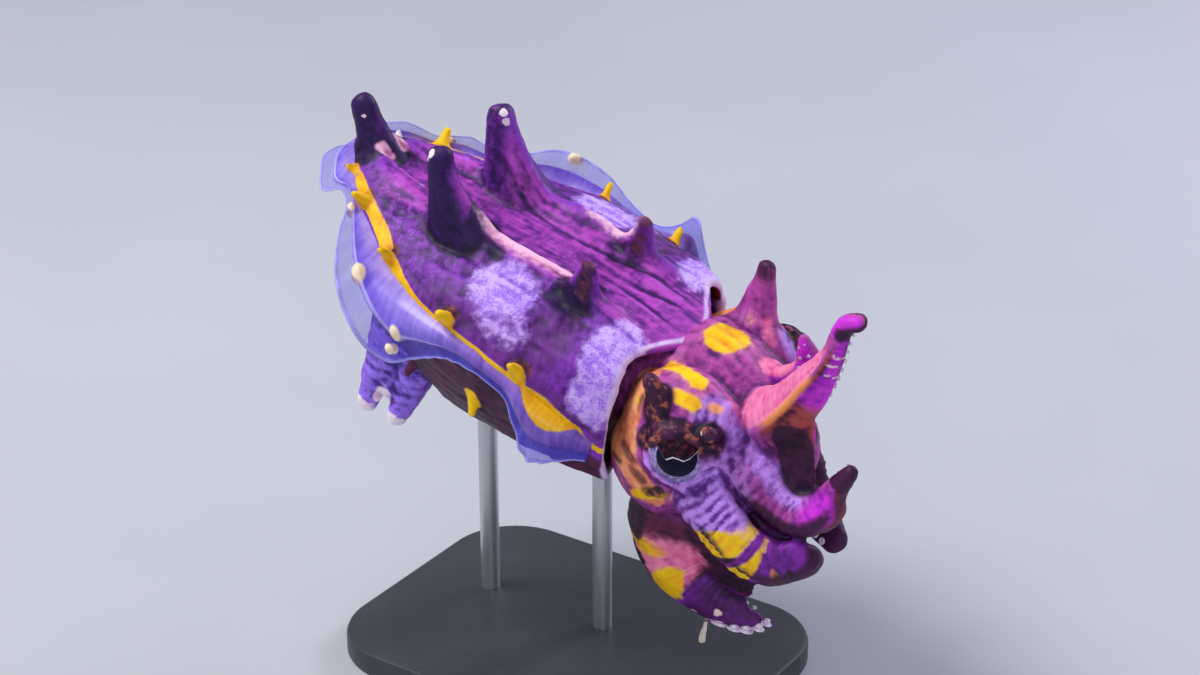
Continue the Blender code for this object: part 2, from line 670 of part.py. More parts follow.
def arm_suckers(name, low, high, pairs=7):
    """Suckers in two rows on the inner face, smaller towards the tip."""
    side, inner_face, points, widths, depths = ARMS[name]
    fine = 61
    frames = arm_frames(side, inner_face, points, fine)
    made = []
    for k in range(pairs):
        share = 0.34 + 0.60 * (k / (pairs - 1)) ** 0.9
        for row in (-1, 1):
            place = share + 0.012 * row
            if not low + 0.03 < place < high - 0.03:
                continue
            point, _, inward, sideways = frames[round(place * (fine - 1))]
            width, depth = size_along(widths, place), size_along(depths, place)
            radius = 0.16 * width * (1 - 0.25 * place)
            across = width * 0.22 * row
            lift = depth / 2 * 0.75 * math.sqrt(1 - (2 * across / width) ** 2)
            made.append(sucker_mesh(point + sideways * across + inward * lift, inward, radius))
    return made


def build_arms(parts):
    """Each arm in two lengths. A root is cut clear of the head and of the arms made before it."""
    placed = []
    for name in ARMS:
        for label, low, high in (("root", 0.0, TIP_SHARE - 0.006), ("tip", TIP_SHARE + 0.006, 1.0)):
            node = f"{name}_{label}"
            arm = new_object(node, arm_mesh(name, low, high), "arm_skin", parts)
            suckers = arm_suckers(name, low, high)
            if suckers:
                combine(arm, suckers, "UNION")
            cut_clear(arm, head_room() + [arm_mesh(other, 0.0, 1.0, GAP) for other in placed])
        placed.append(name)


def build_funnel(parts):
    """The funnel under the throat, with a shallow mouth."""
    path = [Vector((25.5, 0, -16.6)), Vector((29.5, 0, -20.8)), Vector((34.0, 0, -24.0))]
    radii = (4.2, 3.4, 2.3)
    rings = []
    for point, ahead, radius in zip(path, (path[1] - path[0], path[2] - path[0], path[2] - path[1]), radii):
        forward = ahead.normalized()
        up = Vector((0, 1, 0)).cross(forward)
        rings.append([
            point + Vector((0, 1.25, 0)) * (radius * math.cos(a)) + up * (radius * math.sin(a))
            for a in (2 * math.pi * i / 14 for i in range(14))
        ])
    forward = (path[2] - path[1]).normalized()
    mouth = [path[2] + (p - path[2]) * 0.62 for p in rings[-1]]
    throat = [p - forward * 1.6 for p in mouth]
    funnel = new_object("funnel", loft_mesh("funnel", [*rings, mouth, throat]), "head_skin", parts)
    cut_clear(funnel, [*head_room(), mantle_wall_room(), *(arm_mesh(name, 0.0, 1.0, GAP) for name in ARMS)])


def build_stand(parts, pose):
    """A flat base with rounded corners and two upright rods that end just under the belly."""
    outline = bpy.data.curves.new("stand_base", "CURVE")
    outline.dimensions = "2D"
    outline.fill_mode = "BOTH"
    outline.extrude = BASE_THICKNESS * MM / 2
    line = outline.splines.new("POLY")
    corner_steps = 6
    points = []
    for quarter, (sx, sy) in enumerate(((1, 1), (-1, 1), (-1, -1), (1, -1))):
        centre = Vector((sx * (BASE_LENGTH / 2 - BASE_CORNER), sy * (BASE_WIDTH / 2 - BASE_CORNER)))
        for k in range(corner_steps + 1):
            angle = math.pi / 2 * (quarter + k / corner_steps)
            points.append(centre + BASE_CORNER * Vector((math.cos(angle), math.sin(angle))))
    line.points.add(len(points) - 1)
    for spot, point in zip(line.points, points):
        spot.co = (point.x * MM, point.y * MM, 0, 1)
    line.use_cyclic_u = True
    guide = bpy.data.objects.new("stand_outline", outline)
    parts.objects.link(guide)
    bpy.context.view_layer.update()
    graph = bpy.context.evaluated_depsgraph_get()
    mesh = bpy.data.meshes.new_from_object(guide.evaluated_get(graph))
    bpy.data.objects.remove(guide, do_unlink=True)
    bm = bmesh.new()
    bm.from_mesh(mesh)
    bmesh.ops.remove_doubles(bm, verts=bm.verts, dist=1e-6)
    bm.to_mesh(mesh)
    bm.free()
    base = new_object("stand_base", mesh, "stand_base", parts)
    base.location = (0, 0, BASE_THICKNESS * MM / 2)

    belly = mantle_mesh("belly_room", GAP, pocket=False)
    belly.transform(pose)
    for name, station in zip(("stand_rod_rear", "stand_rod_front"), ROD_STATIONS):
        foot = pose @ (Vector((station, 0, belly_height(station))) * MM)
        low = (BASE_THICKNESS + GAP) * MM
        high = foot.z + 4 * MM
        bm = bmesh.new()
        bmesh.ops.create_cone(bm, cap_ends=True, segments=20, radius1=ROD_DIAMETER * MM / 2,
                              radius2=ROD_DIAMETER * MM / 2, depth=high - low,
                              matrix=Matrix.Translation((foot.x, foot.y, (low + high) / 2)))
        mesh = bpy.data.meshes.new(name)
        bm.to_mesh(mesh)
        bm.free()
        rod = new_object(name, mesh, "stand_rod", parts)
        combine(rod, [belly.copy()], "DIFFERENCE")


def main():
    clear_scene()
    parts = collection("flamboyant_cuttlefish")
    pose = (Matrix.Translation(Vector((-BODY_BACK, 0, BODY_HEIGHT)) * MM)
            @ Matrix.Rotation(math.radians(PITCH_DEG), 4, "Y")
            @ Matrix.Rotation(math.radians(BANK_DEG), 4, "X"))
    build_mantle(parts)
    build_fins(parts)
    build_flaps(parts)
    build_head(parts)
    build_eyes(parts)
    build_arms(parts)
    build_funnel(parts)
    animal = bpy.data.objects.new("swimming_pose", None)
    parts.objects.link(animal)
    for obj in list(parts.objects):
        if obj.type == "MESH":
            obj.parent = animal
    animal.matrix_world = pose
    build_stand(parts, pose)


main()
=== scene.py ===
import math

import bmesh
import bpy
import numpy as np
from mathutils import Matrix, Vector


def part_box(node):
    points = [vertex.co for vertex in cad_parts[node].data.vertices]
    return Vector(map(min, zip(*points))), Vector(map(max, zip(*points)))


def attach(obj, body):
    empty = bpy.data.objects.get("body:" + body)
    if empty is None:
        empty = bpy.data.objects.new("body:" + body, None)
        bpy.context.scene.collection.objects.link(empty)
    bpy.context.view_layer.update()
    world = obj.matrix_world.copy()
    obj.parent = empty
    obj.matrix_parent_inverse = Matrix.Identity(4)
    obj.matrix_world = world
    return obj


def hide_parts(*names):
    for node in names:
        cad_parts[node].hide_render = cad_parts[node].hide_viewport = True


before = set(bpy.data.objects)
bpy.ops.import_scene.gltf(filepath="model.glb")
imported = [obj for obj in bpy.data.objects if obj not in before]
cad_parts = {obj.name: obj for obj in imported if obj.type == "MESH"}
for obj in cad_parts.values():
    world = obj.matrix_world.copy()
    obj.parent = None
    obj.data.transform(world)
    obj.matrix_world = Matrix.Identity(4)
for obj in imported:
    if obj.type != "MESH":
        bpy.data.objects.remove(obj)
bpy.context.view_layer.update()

# Lengths are millimetres in the animal's own frame: +X to the head, +Y to its left, +Z out of its back.
# One matrix then sets the whole animal in its swimming pose above the stand, in metres.
MM = 0.001
PITCH_DEG, BANK_DEG = 12.8, 9.0
BODY_HEIGHT, BODY_BACK = 66.0, 9.0
POSE = (Matrix.Translation(Vector((-BODY_BACK, 0, BODY_HEIGHT)) * MM)
        @ Matrix.Rotation(math.radians(PITCH_DEG), 4, "Y")
        @ Matrix.Rotation(math.radians(BANK_DEG), 4, "X")
        @ Matrix.Scale(MM, 4))

# Mantle
TAIL_X, WIDEST_X, TAIL_Z = -35.0, 8.0, 7.0
HALF_WIDTH, BACK_HEIGHT, BELLY_DEPTH = 20.6, 8.0, 23.2
RIM_BACK_X, RIM_SIDE_X, RIM_BELLY_X, RIM_TURN = 31.2, 27.4, 23.5, 1.8
RIDGE_Y, RIDGE_HEIGHT, RIDGE_SPREAD, SADDLE_DIP = 7.4, 1.4, 2.0, 0.8
WALL, POCKET_DEPTH = 1.6, 6.5

# Fins
FIN_WELT, FIN_APART, FIN_SUNK = 0.7, 0.6, 1.3
FIN_ROOT_THICK, FIN_EDGE_THICK, FIN_DROP_THICK, FIN_FOLD_THICK = 1.1, 0.16, 2.4, 0.22

# Head
EYE_CENTRE, EYE_RADIUS = (38.9, 13.8, -5.0), 4.7
GAZE = (0.35, 0.88, 0.30)

# Fineness of the fused skins, and the depth of relief at which creases get their full painted shade and crests
# their full painted light
MANTLE_VOXEL, HEAD_VOXEL, RELIEF_DEPTH = 0.44, 0.42, 0.35
FAR = 99.0  # more than any distance here


def ramp(low, high, value):
    """0 up to low, 1 from high on and smooth between. It falls if high is the smaller one."""
    t = np.clip((value - low) / (high - low), 0.0, 1.0)
    return t * t * (3 - 2 * t)


def span(start, full, fade, end, value):
    """Rises from start to full and falls from fade to end."""
    return ramp(start, full, value) * ramp(end, fade, value)


def hump(value, centre, spread):
    return np.exp(-(((value - centre) / spread) ** 2))


def signed_power(value, power):
    return np.copysign(np.abs(value) ** power, value)


def columns(*values):
    return np.stack(np.broadcast_arrays(*values), axis=-1)


def distance(gaps):
    return np.linalg.norm(gaps, axis=1)


def most(*masks):
    return np.max(masks, axis=0)


def unit(vector):
    return np.asarray(vector, float) / np.linalg.norm(vector)


def mirrored(point, side):
    return np.array([point[0], point[1] * side, point[2]], float)


def grain(points, size=1.0, seed=0):
    """Smooth random values from -1 to 1 that change over a given size."""
    cell = points / size
    low = np.floor(cell).astype(np.int64)
    t = cell - low
    t = t * t * (3 - 2 * t)
    total = np.zeros(len(cell))
    for corner in np.ndindex(2, 2, 2):
        at = low + corner
        mixed = at[:, 0] * 73856093 ^ at[:, 1] * 19349663 ^ at[:, 2] * 83492791 ^ (seed + 1) * 40503
        mixed = (mixed ^ (mixed >> 13)) * 1274126177
        value = ((mixed >> 9) & 0xFFFF) / 32767.5 - 1
        total += value * np.prod(np.where(corner, t, 1 - t), axis=1)
    return total


def spline(points, count):
    """Evenly spaced points on a smooth curve through a few given ones."""
    given = np.array(points, float)
    ends = np.vstack([2 * given[0] - given[1], given, 2 * given[-1] - given[-2]])
    t = np.linspace(0, 1, 32, endpoint=False)[:, None]
    fine = [
        0.5 * (2 * b + (c - a) * t + (2 * a - 5 * b + 4 * c - d) * t**2 + (3 * b - a - 3 * c + d) * t**3)
        for a, b, c, d in zip(ends, ends[1:], ends[2:], ends[3:])
    ]
    fine = np.vstack([*fine, given[-1]])
    run = np.concatenate([[0], np.cumsum(distance(np.diff(fine, axis=0)))])
    want = np.linspace(0, run[-1], count)
    return columns(*(np.interp(want, run, line) for line in fine.T))


# Shapes: each is a pair of points and faces

def loft(rings, start=None, end=None):
    """A closed skin through rings of equal length, with a pole at each end."""
    sides = len(rings[0])
    points = np.vstack(rings)
    last = (len(rings) - 1) * sides
    faces = [
        (low + k, low + (k + 1) % sides, low + sides + (k + 1) % sides, low + sides + k)
        for low in range(0, last, sides) for k in range(sides)
    ]
    for first, pole, turn in ((0, start, -1), (last, end, 1)):
        tip = len(points)
        points = np.vstack([points, points[first : first + sides].mean(axis=0) if pole is None else pole])
        faces += [(first + k, first + (k + 1) % sides, tip)[::turn] for k in range(sides)]
    return points, faces


def circle(count, start=0.0):
    return 2 * np.pi * (np.arange(count) + start) / count


def ellipsoid(centre, radii, sides=48, rings=28):
    a = circle(sides)
    rows = [columns(np.sin(polar) * np.cos(a), np.sin(polar) * np.sin(a), np.cos(polar))
            for polar in np.pi * np.arange(1, rings) / rings]
    points, faces = loft(rows, (0, 0, 1), (0, 0, -1))
    return points * radii + centre, faces


class Horn:
    """A fleshy papilla: a bent cone with a flared foot and a round tip."""

    def __init__(self, base, tip, base_radius, tip_radius, side=1, bow=(0, 0, 0), flare=2.0, flat=1.0,
                 kind="dark", dark=1.0):
        self.base, self.tip, self.kind, self.dark = mirrored(base, side), mirrored(tip, side), kind, dark
        self.middle = (self.base + self.tip) / 2 + bow
        self.base_radius, self.tip_radius, self.flare, self.flat = base_radius, tip_radius, flare, flat

    def centre(self, t):
        return (1 - t) ** 2 * self.base + 2 * t * (1 - t) * self.middle + t**2 * self.tip

    def radius(self, t):
        return self.tip_radius + (self.base_radius - self.tip_radius) * (1 - t) ** self.flare

    def shell(self, sides=28, rings=18):
        axis = unit(self.tip - self.base)
        side = unit(np.array([1.0, 0, 0]) - axis[0] * axis)
        a = circle(sides)[:, None]
        wide = side * self.flat * np.cos(a) + np.cross(axis, side) * np.sin(a)
        levels = [self.centre(t) + wide * self.radius(t) for t in np.linspace(0, 1, rings)]
        crown = axis * self.tip_radius * 0.9
        for turn in np.radians((31.5, 63.0, 85.5)):
            levels.append(self.tip + crown * math.sin(turn) + wide * (self.tip_radius * math.cos(turn)))
        return loft(levels, end=self.tip + crown)

    def reach(self, points):
        """Each point's distance outside the horn and its share of the way up."""
        near = distance(points - self.middle) < np.linalg.norm(self.tip - self.base) + 8
        steps = np.linspace(0, 1.08, 20)
        away = [distance(points[near] - self.centre(t)) - self.radius(min(t, 1.0)) for t in steps]
        gap, share = np.full(len(points), FAR), np.zeros(len(points))
        gap[near], share[near] = np.min(away, axis=0), steps[np.argmin(away, axis=0)]
        return gap, share


# Mantle

def fullness(x, power):
    """From 0 at the tail to 1 at the widest station."""
    share = np.clip((WIDEST_X - x) / (WIDEST_X - TAIL_X), 0, 1)
    return np.maximum(1 - share**2, 0) ** power


def half_width(x):
    ahead = np.clip((x - WIDEST_X) / (RIM_BACK_X - WIDEST_X), 0, 1.4)
    return HALF_WIDTH * fullness(x, 0.88) * (1 - 0.26 * ahead**2)


def fin_line(x):
    """Height of the fin's root: it rises to the tail and dips towards the head."""
    rise = 0.145 * (np.hypot(x + 10.0, 6.0) - (x + 10.0))
    return np.minimum(rise, TAIL_Z) - 0.012 * np.maximum(0.0, x + 0.5) ** 2


def back_height(x):
    level = BACK_HEIGHT - 0.0030 * np.maximum(0.0, x + 2.0) ** 2
    return TAIL_Z + (level - TAIL_Z) * fullness(x, 0.3) + 1.2 * hump(x, -29.0, 5.0)


def belly_height(x):
    level = -BELLY_DEPTH + 0.10 * np.maximum(0.0, x - 14.0) - 2.4 * hump(x, -6.0, 8.0)
    return TAIL_Z + (level - TAIL_Z) * fullness(x, 0.62)


def rim_x(angle):
    """Where the front rim lies: a lobe over the neck, a notch for the funnel, drawn back on the left."""
    up = np.sin(angle)
    side = RIM_SIDE_X - RIM_TURN * np.maximum(0.0, np.cos(angle))
    neck = (RIM_BACK_X - RIM_SIDE_X) * up**24 - 0.7 * hump(np.abs(np.cos(angle)), 0.57, 0.22)
    return side + np.where(up > 0, neck, (RIM_BELLY_X - RIM_SIDE_X) * up**4)


def mantle_points(x, angle, grow=0.0):
    """Points of the mantle's skin. The angle runs from the left fin line over the back."""
    across, up = np.cos(angle), np.sin(angle)
    power = np.where(up > 0, 2 / (2.0 + 1.4 * ramp(12, 28, x)), 2 / 2.7)
    limit = np.where(up > 0, back_height(x), belly_height(x))
    width, level = half_width(x), fin_line(x)
    y = width * signed_power(across, power)
    z = level + np.abs(limit - level) * signed_power(up, power)
    along = span(-33, -24, 17, 26, x) * (up > 0)
    z = z + along * RIDGE_HEIGHT * hump(np.abs(y), RIDGE_Y * np.minimum(1.0, width / 17.0), RIDGE_SPREAD)
    z = z - along * SADDLE_DIP * hump(y, 0.0, 4.0)
    y = y + np.copysign(FIN_WELT * ramp(0.93, 1.0, np.abs(across)) * np.minimum(1.0, width / 6.0), across)
    return columns(x, y + grow * across, z + grow * up)


# The rim's turn inwards and the pocket behind it: how far ahead of the rim, and how many walls inwards
RIM_TURNS = ((0.35, 0.15), (0.5, 0.45), (0.35, 0.8), (-0.2, 1.0), (-POCKET_DEPTH * 0.3, 1.1),
             (-POCKET_DEPTH * 0.6, 1.5), (-POCKET_DEPTH, 3.2))


def mantle_shell(sides=160, stations=110):
    a = circle(sides, 0.5)
    rim = rim_x(a)
    shares = np.linspace(0, 1, stations + 1)[1:] ** 1.25
    rings = [mantle_points(TAIL_X + (rim - TAIL_X) * share, a) for share in shares]
    rings += [mantle_points(rim + ahead, a, -WALL * inward) for ahead, inward in RIM_TURNS]
    return loft(rings, start=(TAIL_X, 0, TAIL_Z), end=rings[-1].mean(axis=0) - (1, 0, 0))


def mantle_share(p):
    """How far out a point lies: 1 on the mantle's plain skin, less on the inner side of its rim."""
    x, y, z = p.T
    level = fin_line(x)
    up = z > level
    room = np.where(up, back_height(x), belly_height(x)) - level
    power = np.where(up, 2.0 + 1.4 * ramp(12, 28, x), 2.7)
    rise = np.abs((z - level) / np.where(np.abs(room) < 0.5, 0.5, room))
    return (np.abs(y / np.maximum(half_width(x), 0.5)) ** power + rise**power) ** (1 / power)


def back_papillae():
    """The large papillae that name the species."""
    made = [Horn((-28.6, 0, 4.5), (-33.2, 0, 14.6), 5.0, 1.9, bow=(0.4, 0, -0.4), flat=1.2)]
    for side, wide, narrow, flare, dark, front_dark in (
            (1, 5.4, 1.95, 1.4, 0.60, 0.62), (-1, 4.9, 1.8, 1.65, 1.0, 0.8)):
        made += [
            Horn((-6.6, 7.0, 4.6), (-12.4, 7.6, 19.0), wide, narrow, side, (-1.8, 0, 0), flare, 1.25,
                 dark=dark),
            Horn((14.0, 7.0, 4.5), (15.8, 7.2, 12.6), 4.4, 1.1, side, (0.9, 0, -1.2), 1.8, 1.5,
                 dark=front_dark),
            Horn((-29.0, 4.2, 4.2), (-31.0, 6.2, 7.2), 2.0, 0.8, side, flare=1.5, kind="pale"),
        ]
    return made


def edge_papillae():
    """The row of small papillae just above each fin, and the pendants below it."""
    made = []
    for side in (1, -1):
        for x in (-24.5, -14.5, 0.5, 14.0):
            root = mantle_points(x - 0.3, 0.16)
            made.append(Horn(root - (0, 1.6, 0.9), root + (-0.4, 1.5, 2.5), 1.9, 0.65, side, flat=1.3,
                             kind="knob"))
        for x in (-17.5, -8.5):
            root = mantle_points(x, -0.55)
            made.append(Horn(root - (0, 1.8, -1.2), root + (-0.6, 0.9, -2.6), 1.7, 0.75, side, kind="plain"))
        made.append(Horn((4.9, 18.6, -7.0), (6.7, 21.1, -12.2), 1.5, 0.75, side, flare=1.3, kind="pendant"))
    return made


# A walking flap's two blunt lobes and the skin between them: base, tip, radii, side, bow, flare, flatness
FLAP_LOBES = [lobe for side in (1, -1) for lobe in (
    ((-13.8, 11.0, -8.0), (-18.8, 14.2, -29.4), 4.6, 1.5, side, (-0.8, 1.6, 0), 1.1, 1.3),
    ((-9.0, 11.0, -10.0), (-13.2, 13.6, -29.6), 4.4, 1.5, side, (0.2, 1.0, 0), 1.1, 1.2),
    ((-11.4, 11.0, -9.0), (-15.4, 13.6, -25.4), 3.2, 1.3, side, (-0.3, 1.3, 0), 1.0, 1.5),
)]
# Each row is a crest or trough of a fin: station, lift above level in degrees, width, sweep to the rear
RIGHT_FIN = (
    (-34.5, 0, 1.2, 0.5), (-31.6, -14, 9.2, 3.0), (-28.6, 0, 3.4, 1.0), (-25.5, 5, 2.4, 0.3),
    (-21.5, 5, 5.2, 1.0), (-17.0, -8, 8.4, 2.0), (-12.5, -28, 10.4, 2.0), (-8.0, -62, 10.8, 0.5),
    (-4.0, -72, 7.8, 0.0), (1.5, -75, 4.4, 0.0), (7.5, -80, 3.4, 0.0), (12.5, -82, 4.2, 0.0),
    (16.5, -80, 9.0, 0.5), (20.5, -76, 10.8, 1.0), (26.4, -78, 8.0, 0.6),
)
LEFT_FIN = (
    (-34.5, 25, 3.0, 2.0), (-30.0, 62, 5.0, 1.0), (-26.5, 50, 2.8, 0.0), (-22.5, 40, 3.6, 0.0),
    (-17.5, 30, 2.8, 0.0), (-10.0, 48, 6.4, 0.0), (-3.0, 40, 5.6, 0.0), (3.0, 12, 3.2, 0.0),
    (9.0, 5, 2.6, 0.0), (15.2, 62, 7.6, 0.0), (18.5, 45, 4.2, 0.0), (24.8, 0, 1.4, -1.0),
)
# Small fleshy drops along the fin's fold: station, reach, radius
FIN_DROPS = ((-16.0, 5.0, 1.15), (-7.6, 5.8, 1.05), (-8.0, 8.6, 0.8), (-24.6, 2.0, 0.6))


def fin_shell(side, rows, stations=420, across=26):
    """A rippling membrane, its root inside the mantle. Also gives each point's share and reach across."""
    wave = spline([(row[0], row[1] / 10, row[2]) for row in rows], stations)
    sweep = spline([(row[0], row[3], 0) for row in rows], stations)[:, 1:2]
    x, lift, width = (wave[:, k : k + 1] for k in range(3))
    place = np.linspace(0, 1, stations)[:, None]
    width = width * np.minimum(1.0, 0.35 + 3.2 * place) * np.minimum(1.0, 0.45 + 5.0 * (1 - place))
    share = np.linspace(0, 1, across)[None, :]
    bend = (np.radians(lift * 10) * ramp(-0.15, 0.75, share)
            + 0.035 * share**2 * np.sin(x * 2.1 + 3 * np.sin(x * 0.31)))
    root_y = np.maximum(FIN_APART, half_width(x) + FIN_WELT * 0.5 - FIN_SUNK)
    y = root_y + FIN_SUNK * np.minimum(1.0, share * 4) + np.cos(bend) * width * share
    z = fin_line(x) + np.sin(bend) * width * share
    points = columns(x - sweep * share**1.5, y * side, z)
    drops = sum(np.exp(-((x - at) ** 2 + (share * width - far) ** 2) / size**2) for at, far, size in FIN_DROPS)
    thick = (FIN_EDGE_THICK + (FIN_ROOT_THICK - FIN_EDGE_THICK) * (1 - share) ** 1.6
             + FIN_DROP_THICK * drops + FIN_FOLD_THICK * hump(share, 0.55, 0.035) * ramp(4, -2, x))
    half = columns(0, -np.sin(bend) * side, np.cos(bend)) * (thick / 2)[..., None]
    shell = loft(list(np.concatenate([points + half, (points - half)[:, ::-1]], axis=1)))

    def on_both_faces(values, at_poles):
        values = np.broadcast_to(values, (stations, across))
        return np.concatenate([np.concatenate([values, values[:, ::-1]], axis=1).ravel(), [at_poles] * 2])

    return shell, on_both_faces(share, 0.5), on_both_faces(share * width, 0.5), on_both_faces(drops, 0)


# Head
# Each row is a section of the head: centre x and z, half width, half height
HEAD_SECTIONS = (
    (22.0, -6.0, 8.5, 8.5), (26.0, -6.4, 10.0, 10.2), (31.0, -6.8, 12.0, 12.6), (36.0, -8.0, 12.4, 12.8),
    (41.0, -9.4, 11.6, 12.2), (45.5, -11.2, 9.8, 10.6), (49.5, -13.0, 7.4, 8.2),
)
HEAD_FRONT_LEAN = 22.0
# Centre and radii of the mounds round the eyes and of the cheeks
MOUNDS = (
    ((37.3, -9.8, -7.2), (10.8, 7.0, 12.6)), ((35.4, 9.4, -7.2), (9.6, 6.4, 11.2)),
    ((34.0, -9.6, -12.0), (8.6, 6.8, 9.6)), ((33.6, 9.2, -11.4), (8.2, 6.4, 9.2)),
)


def head_shell(sides=96, rings=60):
    """The head's core, leaning over forwards so that the arms' crown faces a little down."""
    rows = np.array(HEAD_SECTIONS)
    place = np.linspace(0, len(rows) - 1, rings)
    sections = columns(*(np.interp(place, range(len(rows)), sizes) for sizes in rows.T))
    a = circle(sides, 0.5)
    levels = []
    for lean, (x, z, width, height) in zip(np.radians(HEAD_FRONT_LEAN) * place / (len(rows) - 1), sections):
        rise = np.sin(a) * height
        levels.append(columns(x + rise * math.sin(lean), np.cos(a) * width, z + rise * math.cos(lean)))
    return loft(levels, end=levels[-1].mean(axis=0) + (2.5, 0, -1.0))


# A lid's ring, thickness and height: both upper ones, then the lower one
UPPER_LIDS, LOWER_LID = {-1: (-0.6, 1.5, 2.2), 1: (-1.1, 1.0, 1.9)}, (0.3, 0.7, 0.9)


def lid_shell(side, start_deg, end_deg, wider, thickness, height, steps=48, sides=20):
    """A lid: a thick fold along part of a circle round the line of sight, tapering to its ends."""
    gaze = unit(mirrored(GAZE, side))
    level = unit(np.cross([0, 0, 1.0], gaze)) * side
    up = unit((0, 0, 1.0) - gaze[2] * gaze)
    centre = mirrored(EYE_CENTRE, side) + gaze * height
    a = circle(sides)[:, None]
    rings = []
    for share in np.linspace(0, 1, steps):
        angle = math.radians(start_deg + (end_deg - start_deg) * share)
        out = level * math.cos(angle) + up * math.sin(angle)
        bulge = thickness * (0.3 + 0.7 * math.sin(math.pi * share) ** 0.5)
        rings.append(centre + out * (EYE_RADIUS + wider + bulge * np.cos(a)) + gaze * (1.4 * bulge * np.sin(a)))
    return loft(rings)


def head_papillae():
    return [
        Horn((35.8, -12.4, -3.0), (33.0, -15.2, 6.0), 3.2, 1.2, flat=1.2, flare=1.5, kind="brow"),
        Horn((35.2, 10.0, 0.0), (34.0, 13.2, 10.6), 3.6, 1.1, flat=1.4, flare=1.5, kind="brow"),
        Horn((42.4, -12.2, -2.0), (43.9, -15.2, 1.9), 2.6, 1.2, flat=1.3, kind="wing"),
        Horn((39.4, 12.2, -2.0), (40.2, 14.0, 0.6), 1.8, 0.8, kind="wing"),
    ]


# The way that the flat inner face of each row's arms looks at the root
INNER_FACES = {1: (0, -0.9, -0.4), 2: (0, -1.0, -0.2), 3: (0, -1.0, 0.1), 4: (0.1, -1.0, 0)}
# Each arm: its centreline, then its width and its thickness at even steps from root to tip
ARMS = {
    "right_1": (((41, 2.5, -5), (45.5, 3.9, -2.5), (49.2, 5.2, 1.8), (52.2, 5.8, 7.0), (54.3, 6.0, 11.8),
                 (55.9, 5.9, 16.6), (56.5, 5.6, 20.8), (57.3, 5.6, 24.0), (59.2, 5.8, 25.3)),
                (11.5, 10.6, 8.6, 6.6, 3.8, 3.0), (8.5, 7.6, 6.2, 5.2, 3.3, 2.7)),
    "left_1": (((41, 2.5, -5), (45.0, 3.4, -1.2), (48.0, 3.2, 3.0), (48.4, 2.8, 7.0), (47.2, 2.4, 10.6)),
               (9.5, 8.4, 7.0, 4.6, 2.0), (6.5, 5.6, 4.6, 3.4, 1.8)),
    "right_2": (((41, 5.0, -9), (45.8, 8.0, -5.8), (49.6, 9.2, -6.4), (52.8, 9.4, -8.2), (56.0, 9.3, -9.2),
                 (59.0, 9.0, -8.4), (61.0, 8.6, -5.8), (61.4, 8.4, -3.2), (62.4, 8.2, -0.4), (63.4, 8.1, 2.0)),
                (11.0, 10.0, 8.0, 7.4, 7.2, 4.2, 2.4), (7.5, 7.2, 6.6, 6.2, 5.8, 3.8, 2.3)),
    "left_2": (((41, 5.0, -9), (44.5, 6.6, -9.0), (47.0, 7.0, -12.4), (47.8, 6.6, -17.0), (46.6, 5.4, -21.0)),
               (10.0, 9.0, 7.6, 5.8, 3.4), (7.0, 6.4, 5.6, 4.4, 2.8)),
    "right_3": (((38, 7, -12), (41.5, 9.8, -11.6), (44.9, 11.8, -13.4), (48.5, 12.4, -15.4),
                 (51.7, 12.4, -17.2), (54.9, 12.0, -17.6), (57.6, 11.4, -16.7), (59.0, 11.0, -15.8)),
                (14.0, 14.2, 13.8, 13.4, 12.4, 9.0), (8.5, 8.2, 7.6, 7.2, 6.6, 5.2)),
    "left_3": (((38, 7, -12), (42.5, 8.6, -14.0), (47.0, 8.4, -19.0), (52.5, 7.2, -23.6), (57.5, 4.6, -24.6)),
               (11.5, 11.0, 9.8, 7.8, 5.0), (7.5, 7.2, 6.4, 5.2, 3.4)),
    "right_4": (((38.5, 5, -13), (36.4, 7.8, -18.4), (35.7, 9.4, -24.0), (36.7, 9.4, -29.0),
                 (39.3, 9.0, -33.0), (43.0, 8.4, -35.6), (47.2, 7.4, -36.9), (52.0, 6.2, -37.2)),
                (11.5, 13.0, 12.6, 11.2, 8.4, 3.4), (6.8, 6.6, 6.2, 5.6, 4.4, 2.6)),
    "left_4": (((37.5, 5, -13), (36.6, 7.4, -20.0), (37.6, 7.6, -28.0), (40.6, 6.6, -35.0), (46.0, 3.6, -39.0)),
               (10.5, 11.0, 10.0, 7.6, 4.0), (6.5, 6.2, 5.6, 4.4, 2.4)),
}
ARM_STEPS = 121


def size_along(values, share):
    """A smooth size through values at even steps."""
    x, size, _ = spline([(k, value, 0) for k, value in enumerate(values)], 80).T
    return np.interp(share * (len(values) - 1), x, size)


